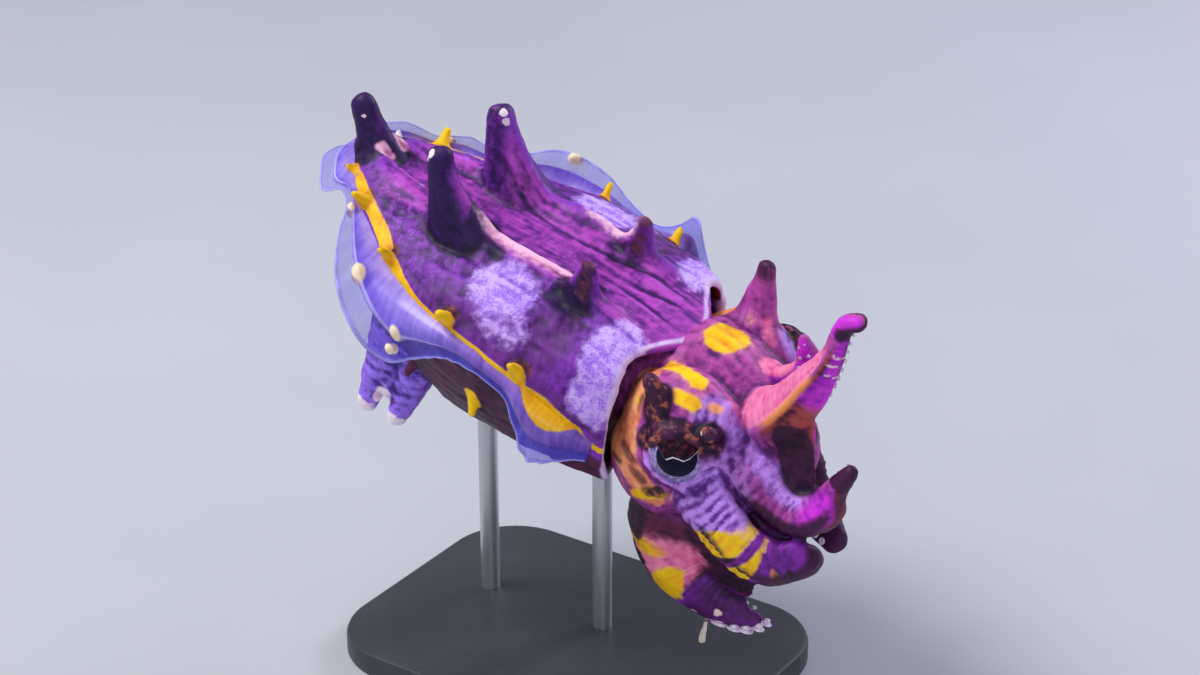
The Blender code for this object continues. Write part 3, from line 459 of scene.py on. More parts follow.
class Arm:
    """An arm's centreline, its sideways and inward directions along it, and its size."""

    def __init__(self, name):
        points, self.widths, depths = ARMS[name]
        self.side, self.row = -1 if name.startswith("right") else 1, int(name[-1])
        self.path = spline([mirrored(p, self.side) for p in points], ARM_STEPS)
        self.ahead = np.gradient(self.path, axis=0)
        self.ahead /= distance(self.ahead)[:, None]
        self.length = distance(np.diff(self.path, axis=0)).sum()
        inward = Vector(mirrored(INNER_FACES[self.row], self.side))
        faces = []
        for before, ahead in zip(self.ahead[[0, *range(ARM_STEPS - 1)]], self.ahead):
            inward = Vector(before).rotation_difference(Vector(ahead)) @ inward
            inward = (inward - inward.dot(ahead) * Vector(ahead)).normalized()
            faces.append(inward.copy())
        self.inward = np.array(faces)
        self.sideways = np.cross(self.ahead, self.inward)
        self.share = np.linspace(0, 1, ARM_STEPS)
        self.width, self.depth = size_along(self.widths, self.share), size_along(depths, self.share)

    def ring(self, k, size=1.0, push=0.0, sides=44):
        a = circle(sides)[:, None]
        reach = np.sin(a)
        depth = self.depth[k] / 2 * reach * np.where(reach > 0, 0.75, 1 + 0.3 * reach**4)
        return (self.path[k] + self.ahead[k] * push + self.sideways[k] * (self.width[k] / 2 * size * np.cos(a))
                + self.inward[k] * (depth * size))

    def shell(self):
        crown = self.widths[-1] * 0.45
        rings = [self.ring(k) for k in range(ARM_STEPS)]
        rings += [self.ring(-1, math.cos(turn), crown * math.sin(turn)) for turn in np.radians((27, 54, 76.5))]
        return loft(rings, end=self.path[-1] + self.ahead[-1] * crown)

    def spot(self, share, across, lift=0.0):
        """A point on the inner face, and the way that the face looks there."""
        k = int(round(share * (ARM_STEPS - 1)))
        high = self.depth[k] / 2 * 0.75 * math.sqrt(max(0.0, 1 - across**2))
        return (self.path[k] + self.sideways[k] * (self.width[k] / 2 * across) + self.inward[k] * (high + lift),
                self.inward[k])

    def place(self, points):
        """Share along, place across, place through (1 is the skin) and closeness of given points."""
        near = np.linalg.norm(points[:, None] - self.path[None, ::12], axis=2).min(axis=1) < 12
        close = points[near]
        low, out = np.full(len(close), FAR), np.zeros((len(close), 3))
        for k in range(ARM_STEPS):
            gap = close - self.path[k]
            across = gap @ self.sideways[k] / (self.width[k] / 2) * -self.side
            through = gap @ self.inward[k] / (self.depth[k] / 2)
            away = np.sqrt(across**2 + through**2 + (gap @ self.ahead[k] / 3.0) ** 2)
            better = away < low
            low[better] = away[better]
            out[better] = columns(self.share[k], across[better], through[better])
        best, found = np.full(len(points), FAR), np.zeros((len(points), 3))
        best[near], found[near] = low, out
        return found, best


ALL_ARMS = {name: Arm(name) for name in ARMS}
# Webs: the two arms that each joins, how far along each it reaches, its thickness and its set inwards
WEBS = (
    ("right_1", "right_2", 0.60, 0.68, 2.6, 0.0), ("right_2", "right_3", 0.71, 0.85, 3.4, 0.6),
    ("right_3", "right_4", 0.85, 0.95, 1.8, 1.2), ("left_1", "left_2", 0.5, 0.5, 2.2, 0.0),
    ("left_2", "left_3", 0.45, 0.45, 2.4, 0.0), ("left_3", "left_4", 0.40, 0.40, 2.0, 0.0),
)


def web_shell(one, other, one_stop, other_stop, thick, inset, steps=60, sides=24):
    """The skin between two neighbouring arms, from near their roots to part of the way along."""
    one, other = ALL_ARMS[one], ALL_ARMS[other]
    a = circle(sides)[:, None]
    rings = []
    for share in np.linspace(0.10, 1, steps):
        j, k = (int(share * stop * (ARM_STEPS - 1)) for stop in (one_stop, other_stop))
        low = one.path[j] + one.inward[j] * inset * share
        high = other.path[k] + other.inward[k] * inset * share
        reach = (high - low) / 2
        out = unit(np.cross(unit(reach), one.ahead[j] + other.ahead[k]))
        taper = math.sqrt(max(0.04, 1 - share**4))
        rings.append((low + high) / 2 + reach * np.cos(a) + out * (thick / 2 * taper * np.sin(a)))
    return loft(rings)


def funnel_shell(sides=40, steps=14):
    """The funnel under the throat, with a shallow mouth."""
    path = spline([(25.5, 0, -16.6), (29.5, 0, -20.8), (34.0, 0, -24.0)], steps)
    ahead = np.gradient(path, axis=0)
    radii = np.interp(np.linspace(0, 2, steps), (0, 1, 2), (4.2, 3.4, 2.3))
    a = circle(sides)[:, None]
    rings = []
    for centre, forward, radius in zip(path, ahead, radii):
        up = np.cross([0, 1.0, 0], unit(forward))
        rings.append(centre + np.array([0, 1.25, 0]) * (radius * np.cos(a)) + up * (radius * np.sin(a)))
    mouth = path[-1] + (rings[-1] - path[-1]) * 0.62
    return loft([*rings, mouth, mouth - unit(ahead[-1]) * 1.6])


# Meshes and objects

def added(name, data):
    obj = bpy.data.objects.new(name, data)
    bpy.context.scene.collection.objects.link(obj)
    return obj


def piece(name, shells):
    """An object in the animal's own frame, still in millimetres."""
    faces, count = [], 0
    for points, shell_faces in shells:
        faces += [tuple(count + k for k in face) for face in shell_faces]
        count += len(points)
    mesh = bpy.data.meshes.new(name)
    mesh.from_pydata(np.vstack([points for points, _ in shells]).tolist(), [], faces)
    mesh.update()
    return added(name, mesh)


def applied(obj):
    """Turns an object's modifiers into its mesh."""
    bpy.context.view_layer.update()
    graph = bpy.context.evaluated_depsgraph_get()
    made = bpy.data.meshes.new_from_object(obj.evaluated_get(graph))
    obj.modifiers.clear()
    obj.data = made
    made.name = obj.name
    return obj


def fused(name, shells, voxel):
    """One skin round shells that overlap."""
    obj = piece(name, shells)
    remesh = obj.modifiers.new("fuse", "REMESH")
    remesh.mode, remesh.voxel_size = "VOXEL", voxel
    return applied(obj)


def read(items, field):
    values = np.empty(len(items) * 3)
    items.foreach_get(field, values)
    return values.reshape(-1, 3)


def write_points(mesh, points):
    mesh.vertices.foreach_set("co", points.ravel())
    mesh.update()


def relax(mesh, points, passes, strength=0.5):
    """Moves each point towards the middle of its neighbours."""
    edges = np.empty(len(mesh.edges) * 2, np.int64)
    mesh.edges.foreach_get("vertices", edges)
    one, other = edges.reshape(-1, 2).T
    count = np.bincount(one, minlength=len(points)) + np.bincount(other, minlength=len(points))
    for _ in range(passes):
        total = columns(*(np.bincount(one, line[other], len(line)) + np.bincount(other, line[one], len(line))
                          for line in points.T))
        points = points + strength * (total / np.maximum(count, 1)[:, None] - points)
    return points


def keep_values(mesh, values):
    """Stores named values or vectors, one for each point."""
    for name, value in values.items():
        kind, field = ("FLOAT_VECTOR", "vector") if np.ndim(value) == 2 else ("FLOAT", "value")
        mesh.attributes.new(name, kind, "POINT").data.foreach_set(field, np.asarray(value, np.float32).ravel())


def in_pose(obj):
    obj.data.transform(POSE)
    obj.data.polygons.foreach_set("use_smooth", [True] * len(obj.data.polygons))
    obj.data.update()
    return obj


def outward(mesh):
    bm = bmesh.new()
    bm.from_mesh(mesh)
    bmesh.ops.recalc_face_normals(bm, faces=bm.faces)
    bm.to_mesh(mesh)
    bm.free()


def carved(name, shells, voxel, details):
    """A fused skin with its fine relief and, for each point, the values that its paint needs."""
    obj = fused(name, shells, voxel)
    mesh = obj.data
    plain = relax(mesh, read(mesh.vertices, "co"), 5)
    write_points(mesh, plain)
    normals = read(mesh.vertex_normals, "vector")
    fold, values = details(plain, normals)
    points = plain + normals * fold[:, None]
    write_points(mesh, relax(mesh, points, 1, 0.3))
    # How far each point stands out from its smoothed surroundings; the paint uses it for painted shade in
    # creases and painted light on crests
    relief = np.einsum("ij,ij->i", points - relax(mesh, points, 10), normals)
    keep_values(mesh, {**values, "relief": np.clip(0.5 + relief / RELIEF_DEPTH, 0, 1)})
    return in_pose(obj)


def blob(p, centre, radii, soft=0.35):
    """1 inside an ellipsoid, 0 outside, 0.5 on its surface. Soft is the width of its edge in radii."""
    return np.clip(0.5 + (1 - distance((p - centre) / np.array(radii))) / soft, 0, 1)


def stroke(p, start, end, radius, soft=0.6):
    """The same for a straight stroke of a brush."""
    start, end = np.array(start, float), np.array(end, float)
    line = end - start
    share = np.clip((p - start) @ line / (line @ line), 0, 1)
    return np.clip(0.5 + (radius - distance(p - start - share[:, None] * line)) / soft, 0, 1)


def painted(p, strokes, soft=0.9):
    return most(*(stroke(p, *ends_and_radius, soft) for ends_and_radius in strokes))


# The mantle's relief and markings
RIDGES = {-1: -5.9, 1: 7.4}
# Where creases run out from a papilla's foot like spokes, and the centres of the veined skin
SPOKED_FEET = ((-7.5, -7.0), (-7.5, 7.0), (14.4, -7.0), (14.4, 7.0), (-29, 0))
VEINED = ((-11.0, -12.0, 5.0), (-20.0, -9.0, 5.5))
# Centre, radii and strength
PALE_PATCHES = (
    ((4.8, -12.8, 5.4), (5.4, 4.8, 4.5), 1.0), ((7.8, -17.0, 3.0), (4.8, 4.0, 5.0), 0.52),
    ((24.4, -12.5, 4.4), (4.1, 6.2, 5.0), 1.0), ((24.6, -17.0, -2.0), (3.4, 4.4, 6.0), 0.9),
)
# Centre and radius
TIP_SPOTS = (
    ((-13.2, -8.7, 19.6), 0.75), ((-13.4, -8.6, 18.4), 0.5), ((-11.2, 6.4, 20.3), 0.8),
    ((-10.4, 6.2, 18.9), 0.7), ((-31.8, -1.6, 13.8), 0.35),
)


def ridge_y(x, side):
    return RIDGES[side] + 0.5 * np.sin(x * 0.35) * side


def mantle_folds(p, normals):
    """Height in mm that the skin's creases, ridges and lumps stand out by."""
    x, y, z = p.T
    back = ramp(2.0, 5.0, z - fin_line(x) * 0.5) * ramp(0.1, 0.6, normals[:, 2])
    plateau = back * span(-26, -18, 24, 29, x)
    crest = (hump(y, ridge_y(x, -1), 0.75) * span(-9, -4, 11, 15, x)
             + hump(y, ridge_y(x, 1), 0.8) * span(-9, -4, 12, 17, x)
             + 0.8 * hump(np.abs(y), 2.6, 0.7) * span(-31, -28, -21, -15, x))
    grooves = sum(hump(y, centre + 0.8 * np.sin(x * 0.2 + centre), 0.38) for centre in (1.6, 3.6, -1.8))
    belly = ramp(-2.0, -7.0, z - fin_line(x))
    streaks = grain(columns(x * 0.16, y * 1.15, 0), seed=3)
    down = grain(columns(x * 0.95 + 0.12 * z**2, z * 0.16, y * 0.1), seed=5)
    pleats = grain(columns(x * 0.10, y * 0.9, z * 0.9), seed=8)
    fold = back * 0.55 * crest - 0.30 * plateau * grooves + plateau * 0.16 * streaks
    fold += 0.05 * (1 - back) * (1 - belly) * down + 0.16 * belly * pleats
    fold += 0.22 * grain(p, 3.4, 1) + 0.10 * grain(p, 1.5, 2) + 0.06 * grain(p, 0.8, 4)
    waver = 2.2 * grain(p, 4.0, 7)
    for foot_x, foot_y in SPOKED_FEET:
        spokes = np.sin(np.arctan2(y - foot_y, x - foot_x) * 11 + waver)
        fold += 0.07 * back * spokes * hump(np.hypot(x - foot_x, y - foot_y), 6.8, 2.6)
    return fold


def mantle_marks(p, normals, horns):
    """What the skin is painted with, each a value from 0 to 1 with its edge at a half."""
    x, y, z = p.T
    both = columns(x, -np.abs(y), z)
    height, out, wide = z - fin_line(x), mantle_share(p), np.maximum(half_width(x), 1.0)
    side_on = ramp(0.78, 0.93, np.abs(y) / wide)
    ragged = grain(p, 2.2, 11)
    recess = ramp(0.95, 0.92, out) * ramp(17, 20, x)
    # The dark underside below the fin line is partly the skin's own colour and partly painted shade of the
    # underside
    belly = ramp(-0.8, -3.6, height + 0.5 * ragged) * (1 - recess)
    back = ramp(1.0, 4.0, height)
    plateau = ramp(8.6, 6.2, np.abs(y + 0.7)) * ramp(-28, -20, x) * ramp(0.2, 0.6, normals[:, 2]) * back
    # The pale pink along the ridges is partly the skin's own colour and partly a painted highlight on the
    # ridges' tops
    crest = most(back * (hump(y, ridge_y(x, -1) - 0.3, 1.25) * span(-8, -3, 11.0, 14.5, x)
                         + 0.8 * hump(y, ridge_y(x, 1), 0.9) * span(2, 7, 13, 17, x)),
                 stroke(both, (-28.0, -1.8, 10.0), (-26.2, -1.7, 9.0), 0.8, 0.8),
                 0.8 * stroke(both, (-26.2, -1.7, 9.0), (-18.8, -2.5, 7.5), 0.4, 0.5))
    pale = most(*(strength * blob(both, centre, radii, 0.5) for centre, radii, strength in PALE_PATCHES))
    shade = most(0.8 * blob(both, (15.2, -14.6, 3.4), (4.2, 6.5, 7.0), 0.7),
                 0.66 * span(0.4, 1.4, 2.8, 5.5, height) * ramp(-12, -2, x))
    middle = 0.35 + 1.5 * hump(x, -21.0, 9.0)
    line = 0.62 + 0.35 * ramp(-4.0, -12.0, x)
    band = ramp(line + 0.35, line - 0.35, np.abs(height - middle)) * ramp(0.2, 1.5, np.abs(y))
    front = hump(height, -0.4, 0.5 + 1.4 * hump(x, 18.6, 4.2)) * ramp(11.5, 14.5, x)
    yellow = most(band * span(-31, -27, 23.5, 26.0, x), 1.2 * front) * side_on * (out > 0.93)
    dark, cream, flap, brown = np.zeros((4, len(p)))
    for horn in horns:
        gap, share = horn.reach(p)
        on = ramp(1.1, -0.3, gap)
        if horn.kind == "dark":
            foot = ramp(1.8 + 1.2 * ragged, 0.0, gap) * ramp(0.75, 0.2, share)
            dark = most(dark, horn.dark * on * ramp(0.02, 0.3, share), 0.85 * horn.dark * foot)
            brown = most(brown, 0.42 * on * ramp(0.1, 0.4, share) * (horn.base[0] > 10))
        elif horn.kind == "pale" and horn.base[1] > 0:
            cream = most(cream, on * ramp(0.2, 0.6, share))
        elif horn.kind in ("pale", "knob"):
            outer = ramp(-0.9, 0.1, np.abs(y) - np.abs(horn.middle[1]) + 0.5 * share)
            yellow = most(yellow, on * outer)
            # Brown on each knob's inner side above the fin line: partly the skin's own brown and partly painted
            # shade above the knob
            brown = most(brown, ramp(1.3, 0.1, gap) * (1 - outer) * ramp(0.4, 1.0, height))
        elif horn.kind == "pendant":
            yellow = most(yellow, on * ramp(0.15, 0.45, share))
        elif horn.kind == "flap":
            flap = most(flap, ramp(1.6, -0.6, gap) * ramp(0.12, 0.3, share))
            cream = most(cream, on * ramp(0.86, 0.99, share + 0.03 * ragged))
    # A dark stroke ahead of the near big papilla's foot, just below the near ridge: painted shade under the
    # ridge
    dark = most(dark, 0.9 * stroke(p, (-6.0, -6.8, 7.6), (0.6, -8.4, 7.0), 1.7, 1.6))
    veins = most(*(blob(both, centre, (6.5, 7.5, 8.0), 0.9) for centre in VEINED))
    pale = pale * (height > -3.5)
    angle = np.arctan2(signed_power(height / np.maximum(back_height(x) - fin_line(x), 1), 1.3),
                       signed_power(y / wide, 1.3))
    return {
        "plateau": plateau, "shade": shade * (1 - recess), "pale": pale * back * (1 - recess), "crest": crest,
        "dark": dark * (1 - belly), "belly": belly * (1 - flap), "flap": flap, "brown": brown,
        "yellow": np.clip(yellow, 0, 1) * (1 - recess), "recess": recess,
        "cream": most(cream, *(blob(p, centre, size) for centre, size in TIP_SPOTS)),
        "rim": hump(x - rim_x(angle), 0.25, 0.55) * span(0.93, 0.965, 0.99, 1.03, out),
        "veins": veins * back * (1 - pale) * (1 - dark), "lie": mantle_lie(x, y, z),
    }


def mantle_lie(x, y, z):
    """Coordinates for streaks: lengthwise on the back and belly, crosswise on the flanks."""
    lengthwise = columns(x * 0.15, y * 1.25, z * 0.3)
    crosswise = columns(x * 1.05 + 0.10 * z**2, z * 0.20, 7 + y * 0.15)
    pleats = columns(x * 0.12, y * 0.9, z * 0.9)
    top = (ramp(9.0, 6.5, np.abs(y)) * ramp(-8, 0, z))[:, None]
    low = ramp(-3.0, -6.0, z - fin_line(x))[:, None]
    return lengthwise * top + pleats * low + crosswise * (1 - top) * (1 - low)


def build_mantle():
    horns = back_papillae() + edge_papillae() + [Horn(*sizes, kind="flap") for sizes in FLAP_LOBES]

    def details(p, normals):
        return mantle_folds(p, normals) * ramp(0.9, 0.97, mantle_share(p)), mantle_marks(p, normals, horns)

    return carved("skin_mantle", [mantle_shell(), *(horn.shell() for horn in horns)], MANTLE_VOXEL, details)


# The head's and arms' markings. Each stroke: start, end, radius
MIDDLE_YELLOW = (
    ((35.2, 0.4, 5.0), (35.8, 2.6, 4.8), 2.8), ((35.0, 7.8, 4.6), (35.2, 8.0, 4.5), 0.5),
    ((31.8, -8.0, 3.4), (38.2, -10.0, 5.4), 1.35),
)
HEAD_YELLOW = (
    ((36.4, -13.2, 3.6), (39.4, -13.0, 3.6), 1.1), ((30.9, -13.7, -0.1), (31.1, -13.7, -0.1), 0.55),
    ((28.4, -13.2, -10.4), (31.8, -14.2, -15.2), 1.1), ((33.6, -15.4, -15.6), (38.2, -16.6, -12.6), 1.1),
)
HEAD_ORANGE = (
    ((28.6, -11.6, 2.0), (29.8, -14.6, -9.0), 3.8), ((36.0, -16.6, 1.6), (34.6, -16.8, -3.0), 1.0),
    ((41.0, -15.6, -13.0), (46.0, -15.8, -11.4), 1.8), ((31.0, -14.6, -10.0), (36.0, -15.6, -14.0), 2.6),
)
HEAD_DARK = (
    ((43.3, -5.0, 6.4), (50.4, -5.0, 11.0), 0.4), ((38.6, -18.0, -1.2), (40.6, -17.6, -0.8), 2.2),
    ((43.9, -14.6, -3.0), (43.0, -14.8, 1.0), 2.0), ((41.0, -17.4, -9.6), (44.4, -15.6, -8.0), 1.2),
    ((36.4, -16.4, -13.6), (38.0, -16.6, -11.8), 0.9), ((28.8, -14.0, -11.8), (30.4, -14.8, -11.4), 1.0),
)
# Painted shade in the webs and on the far arms' edges, where shade falls between the arms
SHADED_HOLLOWS = (
    ((53.4, -8.4, 2.2), (56.2, -8.8, -3.0), 3.0), ((51.6, 1.0, -4.4), (52.6, -2.4, -7.6), 3.6),
    ((54.5, 5.4, -23.6), (59.6, 3.8, -24.4), 3.6), ((57.3, -7.0, 22.7), (60.9, -6.8, 25.0), 1.15),
    ((46.6, -9.4, -29.2), (51.0, -7.8, -30.0), 2.2), ((58.2, -6.2, 15.0), (58.6, -6.0, 20.5), 0.8),
    ((50.6, 9.0, -15.0), (52.6, 8.0, -19.5), 1.8),
)
HEAD_BLOTCHES = (
    ((30.2, -14.6, -8.4), (32.4, -15.6, -9.4), 1.3), ((32.6, -15.6, -10.8), (34.6, -16.2, -12.0), 1.2),
    ((35.6, -16.2, -13.8), (40.4, -17.0, -12.0), 1.3), ((31.2, -13.6, 0.6), (32.2, -14.4, -2.6), 0.9),
    ((42.6, -16.4, -9.8), (44.6, -15.6, -10.6), 1.3),
)
HEAD_LAVENDER = (((42.5, -12.0, 2.0), (47.5, -13.0, -7.0), 3.4), ((46.0, -11.0, 0.0), (50.0, -13.0, -9.0), 2.6))
# Patches on the outside of each row's arms: row, place along and across, reach along and across, then
# slant, softness and strength where they aren't 0, 0.5 and 1
ARM_PATCHES = {
    "yellow": ((4, 0.60, 0.0, 0.078, 0.62, -0.05), (4, 0.42, -0.45, 0.034, 0.70, 0.02, 0.5, 0.9)),
    "near yellow": ((3, 0.525, 0.10, 0.095, 1.0, 0.10), (3, 0.72, 0.10, 0.045, 0.85, 0.09)),
    "orange": ((3, 0.88, -0.1, 0.028, 0.6), (4, 0.425, -0.2, 0.05, 0.6)),
    "dark": ((4, 0.35, -0.62, 0.075, 0.42), (4, 0.50, -0.75, 0.035, 0.35), (3, 0.82, -0.35, 0.028, 0.7, 0.02),
             (3, 0.96, -0.2, 0.05, 0.65), (3, 0.62, 0.1, 0.02, 0.5, 0.1)),
    "salmon": ((4, 0.50, 0.35, 0.13, 0.85, 0.0, 0.8, 1.3),),
    # The second magenta patch on arm II, small and at 0.88 along, is a painted highlight at the foot of its
    # dark tip
    "magenta": ((2, 0.73, 0.30, 0.11, 0.62, 0.0, 0.9), (2, 0.88, 0.5, 0.02, 0.3)),
    "cream": ((4, 0.755, -0.35, 0.014, 0.13), (4, 0.83, 0.25, 0.018, 0.16), (3, 0.745, -0.5, 0.012, 0.14),
              (1, 0.70, -0.75, 0.006, 0.22, 0.0, 0.5, 0.8), (1, 0.74, -0.70, 0.006, 0.22, 0.0, 0.5, 0.8),
              (1, 0.78, -0.80, 0.006, 0.22, 0.0, 0.5, 0.8)),
}


class ArmPlaces:
    """For each point, the nearest arm's row, side and length, and where the point lies on that arm."""

    def __init__(self, p):
        self.near, self.gaps = np.full(len(p), FAR), np.full((5, len(p)), FAR)
        self.place = np.zeros((len(p), 3))
        self.row, self.side, self.length = np.zeros((3, len(p)))
        for arm in ALL_ARMS.values():
            found, away = arm.place(p)
            self.gaps[arm.row] = np.minimum(self.gaps[arm.row], away)
            better = away < self.near
            self.near[better], self.place[better] = away[better], found[better]
            self.row[better], self.side[better], self.length[better] = arm.row, arm.side, arm.length
        self.along, self.across, self.through = self.place.T


def head_folds(p, arms):
    """Height in mm that the head's and arms' wrinkles and lumps stand out by."""
    x, y, z = p.T
    row, along, across = arms.row, arms.along, arms.across
    on = ramp(1.9, 1.2, arms.near) * ramp(0.02, 0.22, along)
    outer = ramp(0.2, -0.3, arms.through)
    bend = grain(p, 5.0, 21)
    wrinkle = np.sin(along * arms.length * 2 * np.pi / 1.25 + 2.6 * bend + across * 1.6)
    depth = np.select([row == 3, row == 2],
                      [0.17 * ramp(0.95, 0.55, along), 0.09 * ramp(0.9, 0.6, along)], 0.05)
    fold = on * outer * wrinkle * (0.6 + 0.5 * grain(p, 3.0, 22)) * depth
    swirl = np.sin((x * 0.83 + z * 0.34) * 2 * np.pi / 1.15 + 2.2 * bend)
    fold += 0.13 * blob(p, (45.6, -12.0, -1.6), (5.5, 5.0, 9.5), 0.8) * swirl * (1 - on * 0.6)
    keel = (row == 1) * on * hump(across, -0.28 + 0.1 * bend, 0.16) * outer
    fold += 0.75 * keel * span(0.24, 0.4, 0.7, 0.85, along)
    fold += 0.20 * grain(p, 3.2, 23) + 0.11 * grain(p, 1.5, 24) + 0.05 * grain(p, 0.8, 25)
    eye = distance(columns(x, np.abs(y), z) - EYE_CENTRE)
    fold += ramp(8.8, 6.8, eye) * (0.24 * grain(p, 1.6, 27) + 0.16 * grain(p, 0.85, 28))
    ropes = np.sin(y * 2 * np.pi / 2.6 + 3.4 * grain(p, 6.0, 26)) * 0.09
    return fold + ramp(2.5, 4.5, z) * ramp(44, 40, x) * ropes


def head_marks(p, horns, arms):
    """What the head and arms are painted with, as for the mantle."""
    x, y, z = p.T
    along, across, through, gaps = arms.along, arms.across, arms.through, arms.gaps
    both = columns(x, -np.abs(y), z)
    ragged = grain(p, 1.8, 31)
    on = ramp(1.75, 1.25, arms.near) * ramp(0.12, 0.3, along)
    core = 1 - on
    arm = {k: on * (arms.row == k) for k in (1, 2, 3, 4)}
    inner = ramp(0.25, 0.55, through) * on * ramp(0.3, 0.4, along)
    outer = ramp(0.55, 0.2, through)
    right = ramp(1.0, -1.0, y)
    # Lavender and the near yellow go on the near arms, and on the far ones only where they reach past 9 to 11
    # mm to the left; the rest of the far arms keeps its darker paint as painted shade
    shown = most(right, ramp(9.0, 11.0, y))

    def web(one, other):
        """The skin between two neighbouring arms."""
        low, high = np.minimum(gaps[one], gaps[other]), np.maximum(gaps[one], gaps[other])
        return ramp(4.6, 3.6, high) * ramp(1.0, 1.35, low) * ramp(0.30, 0.46, along)

    def patch(k, u, v, u_reach, v_reach, slant=0.0, soft=0.5, strength=1.0):
        away = np.hypot((along - u - slant * (across - v)) / u_reach, (across - v) / v_reach)
        return strength * arm[k] * outer * np.clip(0.5 + (1 - away) / soft, 0, 1)

    def patches(paint):
        return most(*(patch(*sizes) for sizes in ARM_PATCHES[paint]))

    blotches = painted(both, HEAD_BLOTCHES, 1.2) * core
    dark = most(
        painted(both, HEAD_DARK) * core, patches("dark"),
        0.55 * arm[4] * ramp(0.63, 0.74, along + 0.03 * ragged),
        arm[2] * ramp(0.84, 0.90, along), arm[1] * right * ramp(0.82, 0.9, along) * ramp(-0.7, 0.2, through),
        # The webs between arms II to IV and the hollows between the arms are painted shade
        0.62 * blotches, web(2, 3), web(3, 4), painted(p, SHADED_HOLLOWS, 1.6), 0.9 * arm[4] * inner,
    )
    lavender = most(
        painted(both, HEAD_LAVENDER, 2.4) * (1 - 0.5 * on),
        shown * arm[3] * outer * ramp(0.66, 0.46, along - 0.12 * across) * ramp(-0.5, 0.3, across),
        0.75 * shown * arm[2] * outer * ramp(0.5, 0.9, across) * ramp(0.8, 0.6, along),
    )
    brow = np.zeros(len(p))
    for horn in horns:
        gap, share = horn.reach(p)
        if horn.kind == "brow" and horn.base[1] > 0:
            dark = most(dark, 0.75 * ramp(1.4, -0.2, gap) * ramp(0.55, 0.95, share))
        else:
            brow = most(brow, ramp(1.6, -0.2, gap))
    above = z - EYE_CENTRE[2]
    for side, strength in ((-1, 1.0), (1, 0.45)):
        lid = distance(p - mirrored(EYE_CENTRE, side))
        brow = most(brow, strength * ramp(7.4, 6.0, lid) * ramp(-0.5, 1.6, above - 0.3 * (x - EYE_CENTRE[0])))
        lavender = most(lavender, 0.8 * ramp(6.0, 5.3, lid) * ramp(1.0, -1.0, above))
    brow = brow * core
    return {
        "maroon": most((arms.row == 4) * ramp(0.15, 0.35, along) * ramp(5.0, 4.0, arms.near),
                       0.9 * arm[2] * ramp(0.6, 0.0, across), 0.8 * inner),
        "lavender": lavender * (1 - brow),
        "plum": most(arm[3] * ramp(0.60, 0.72, along + 0.05 * ragged), 0.9 * arm[4] * ramp(0.60, 0.70, along)),
        "salmon": most(
            arm[1] * ramp(-0.3, -0.12, across) * span(0.12, 0.3, 0.7, 0.86, along), patches("salmon"),
            0.75 * stroke(p, (40.0, 7.4, 3.2), (38.0, 9.0, 4.4), 1.3, 1.2),
            0.7 * stroke(p, (45.0, -7.0, 4.4), (49.0, -7.6, 8.0), 3.0, 2.4)),
        "orange": (1 - 0.85 * brow) * most(
            painted(both, HEAD_ORANGE) * core, patches("orange"),
            stroke(p, (41.9, -11.7, 3.6), (42.6, -11.3, 3.4), 0.7, 1.0),
            0.8 * painted(both, HEAD_YELLOW, 3.2) * core, 0.8 * painted(p, MIDDLE_YELLOW, 3.0) * core),
        "rust": arm[1] * ramp(-0.24, -0.42, across) * span(0.2, 0.4, 0.7, 0.88, along),
        "magenta": most(
            arm[1] * inner, patches("magenta"), arm[1] * ramp(0.84, 0.9, along) * ramp(-0.5, -0.8, through),
            arm[1] * right * ramp(0.50, 0.60, along) * ramp(-0.30, -0.44, across - 1.2 * (0.56 - along))),
        "yellow": (1 - brow) * most(painted(both, HEAD_YELLOW) * core, painted(p, MIDDLE_YELLOW) * core,
                                    shown * patches("near yellow"), patches("yellow")),
        "dark": most(dark, brow), "ember": 0.36 * most(brow, blotches),
        # A brighter orange line along the keel of arm I: a painted highlight on the ridge
        "keel": arm[1] * hump(across, -0.28, 0.13) * span(0.24, 0.4, 0.62, 0.72, along),
        "cream": most(
            0.9 * arm[4] * outer * hump(across, -0.98, 0.07) * ramp(0.22, 0.3, along),
            0.9 * arm[3] * outer * hump(across, -0.95, 0.07) * span(0.3, 0.45, 0.65, 0.8, along),
            patches("cream"),
            stroke(p, (44.8, -8.0, -42.4), (44.6, -8.0, -47.0), 1.2),
            stroke(p, (41.6, -16.4, 1.2), (43.4, -15.4, 2.2), 0.35, 0.5),
            stroke(p, (37.4, 8.6, 4.4), (40.2, 8.9, 3.4), 0.5)),
    }


def head_lie(p, arms):
    """Coordinates for streaks: round the eyes on the head, across the arms."""
    x, y, z = p.T
    on = (ramp(1.9, 1.2, arms.near) * ramp(0.1, 0.3, arms.along))[:, None]
    swirl = columns((x * 0.83 + z * 0.34) * 1.1, (z - y) * 0.2, 3 + y * 0.1)
    transverse = columns(arms.along * arms.length * 1.1 + arms.across, arms.across * 0.8, arms.row + arms.side)
    return swirl * (1 - on) + transverse * on


def build_head():
    horns = head_papillae()
    drop = Horn((45.0, -8.0, -38.2), (44.6, -8.0, -45.8), 0.45, 0.8, flare=0.5)
    shells = [head_shell(), *(ellipsoid(*mound) for mound in MOUNDS), funnel_shell(),
              *(horn.shell() for horn in horns), *(arm.shell() for arm in ALL_ARMS.values())]
    for side in (1, -1):
        shells += [lid_shell(side, 2, 178, *UPPER_LIDS[side]), lid_shell(side, 190, 350, *LOWER_LID)]
    shells += [drop.shell(), *(web_shell(*sizes) for sizes in WEBS)]

    def details(p, normals):
        arms = ArmPlaces(p)
        return head_folds(p, arms), {**head_marks(p, horns, arms), "lie": head_lie(p, arms)}

    return carved("skin_head", shells, HEAD_VOXEL, details)


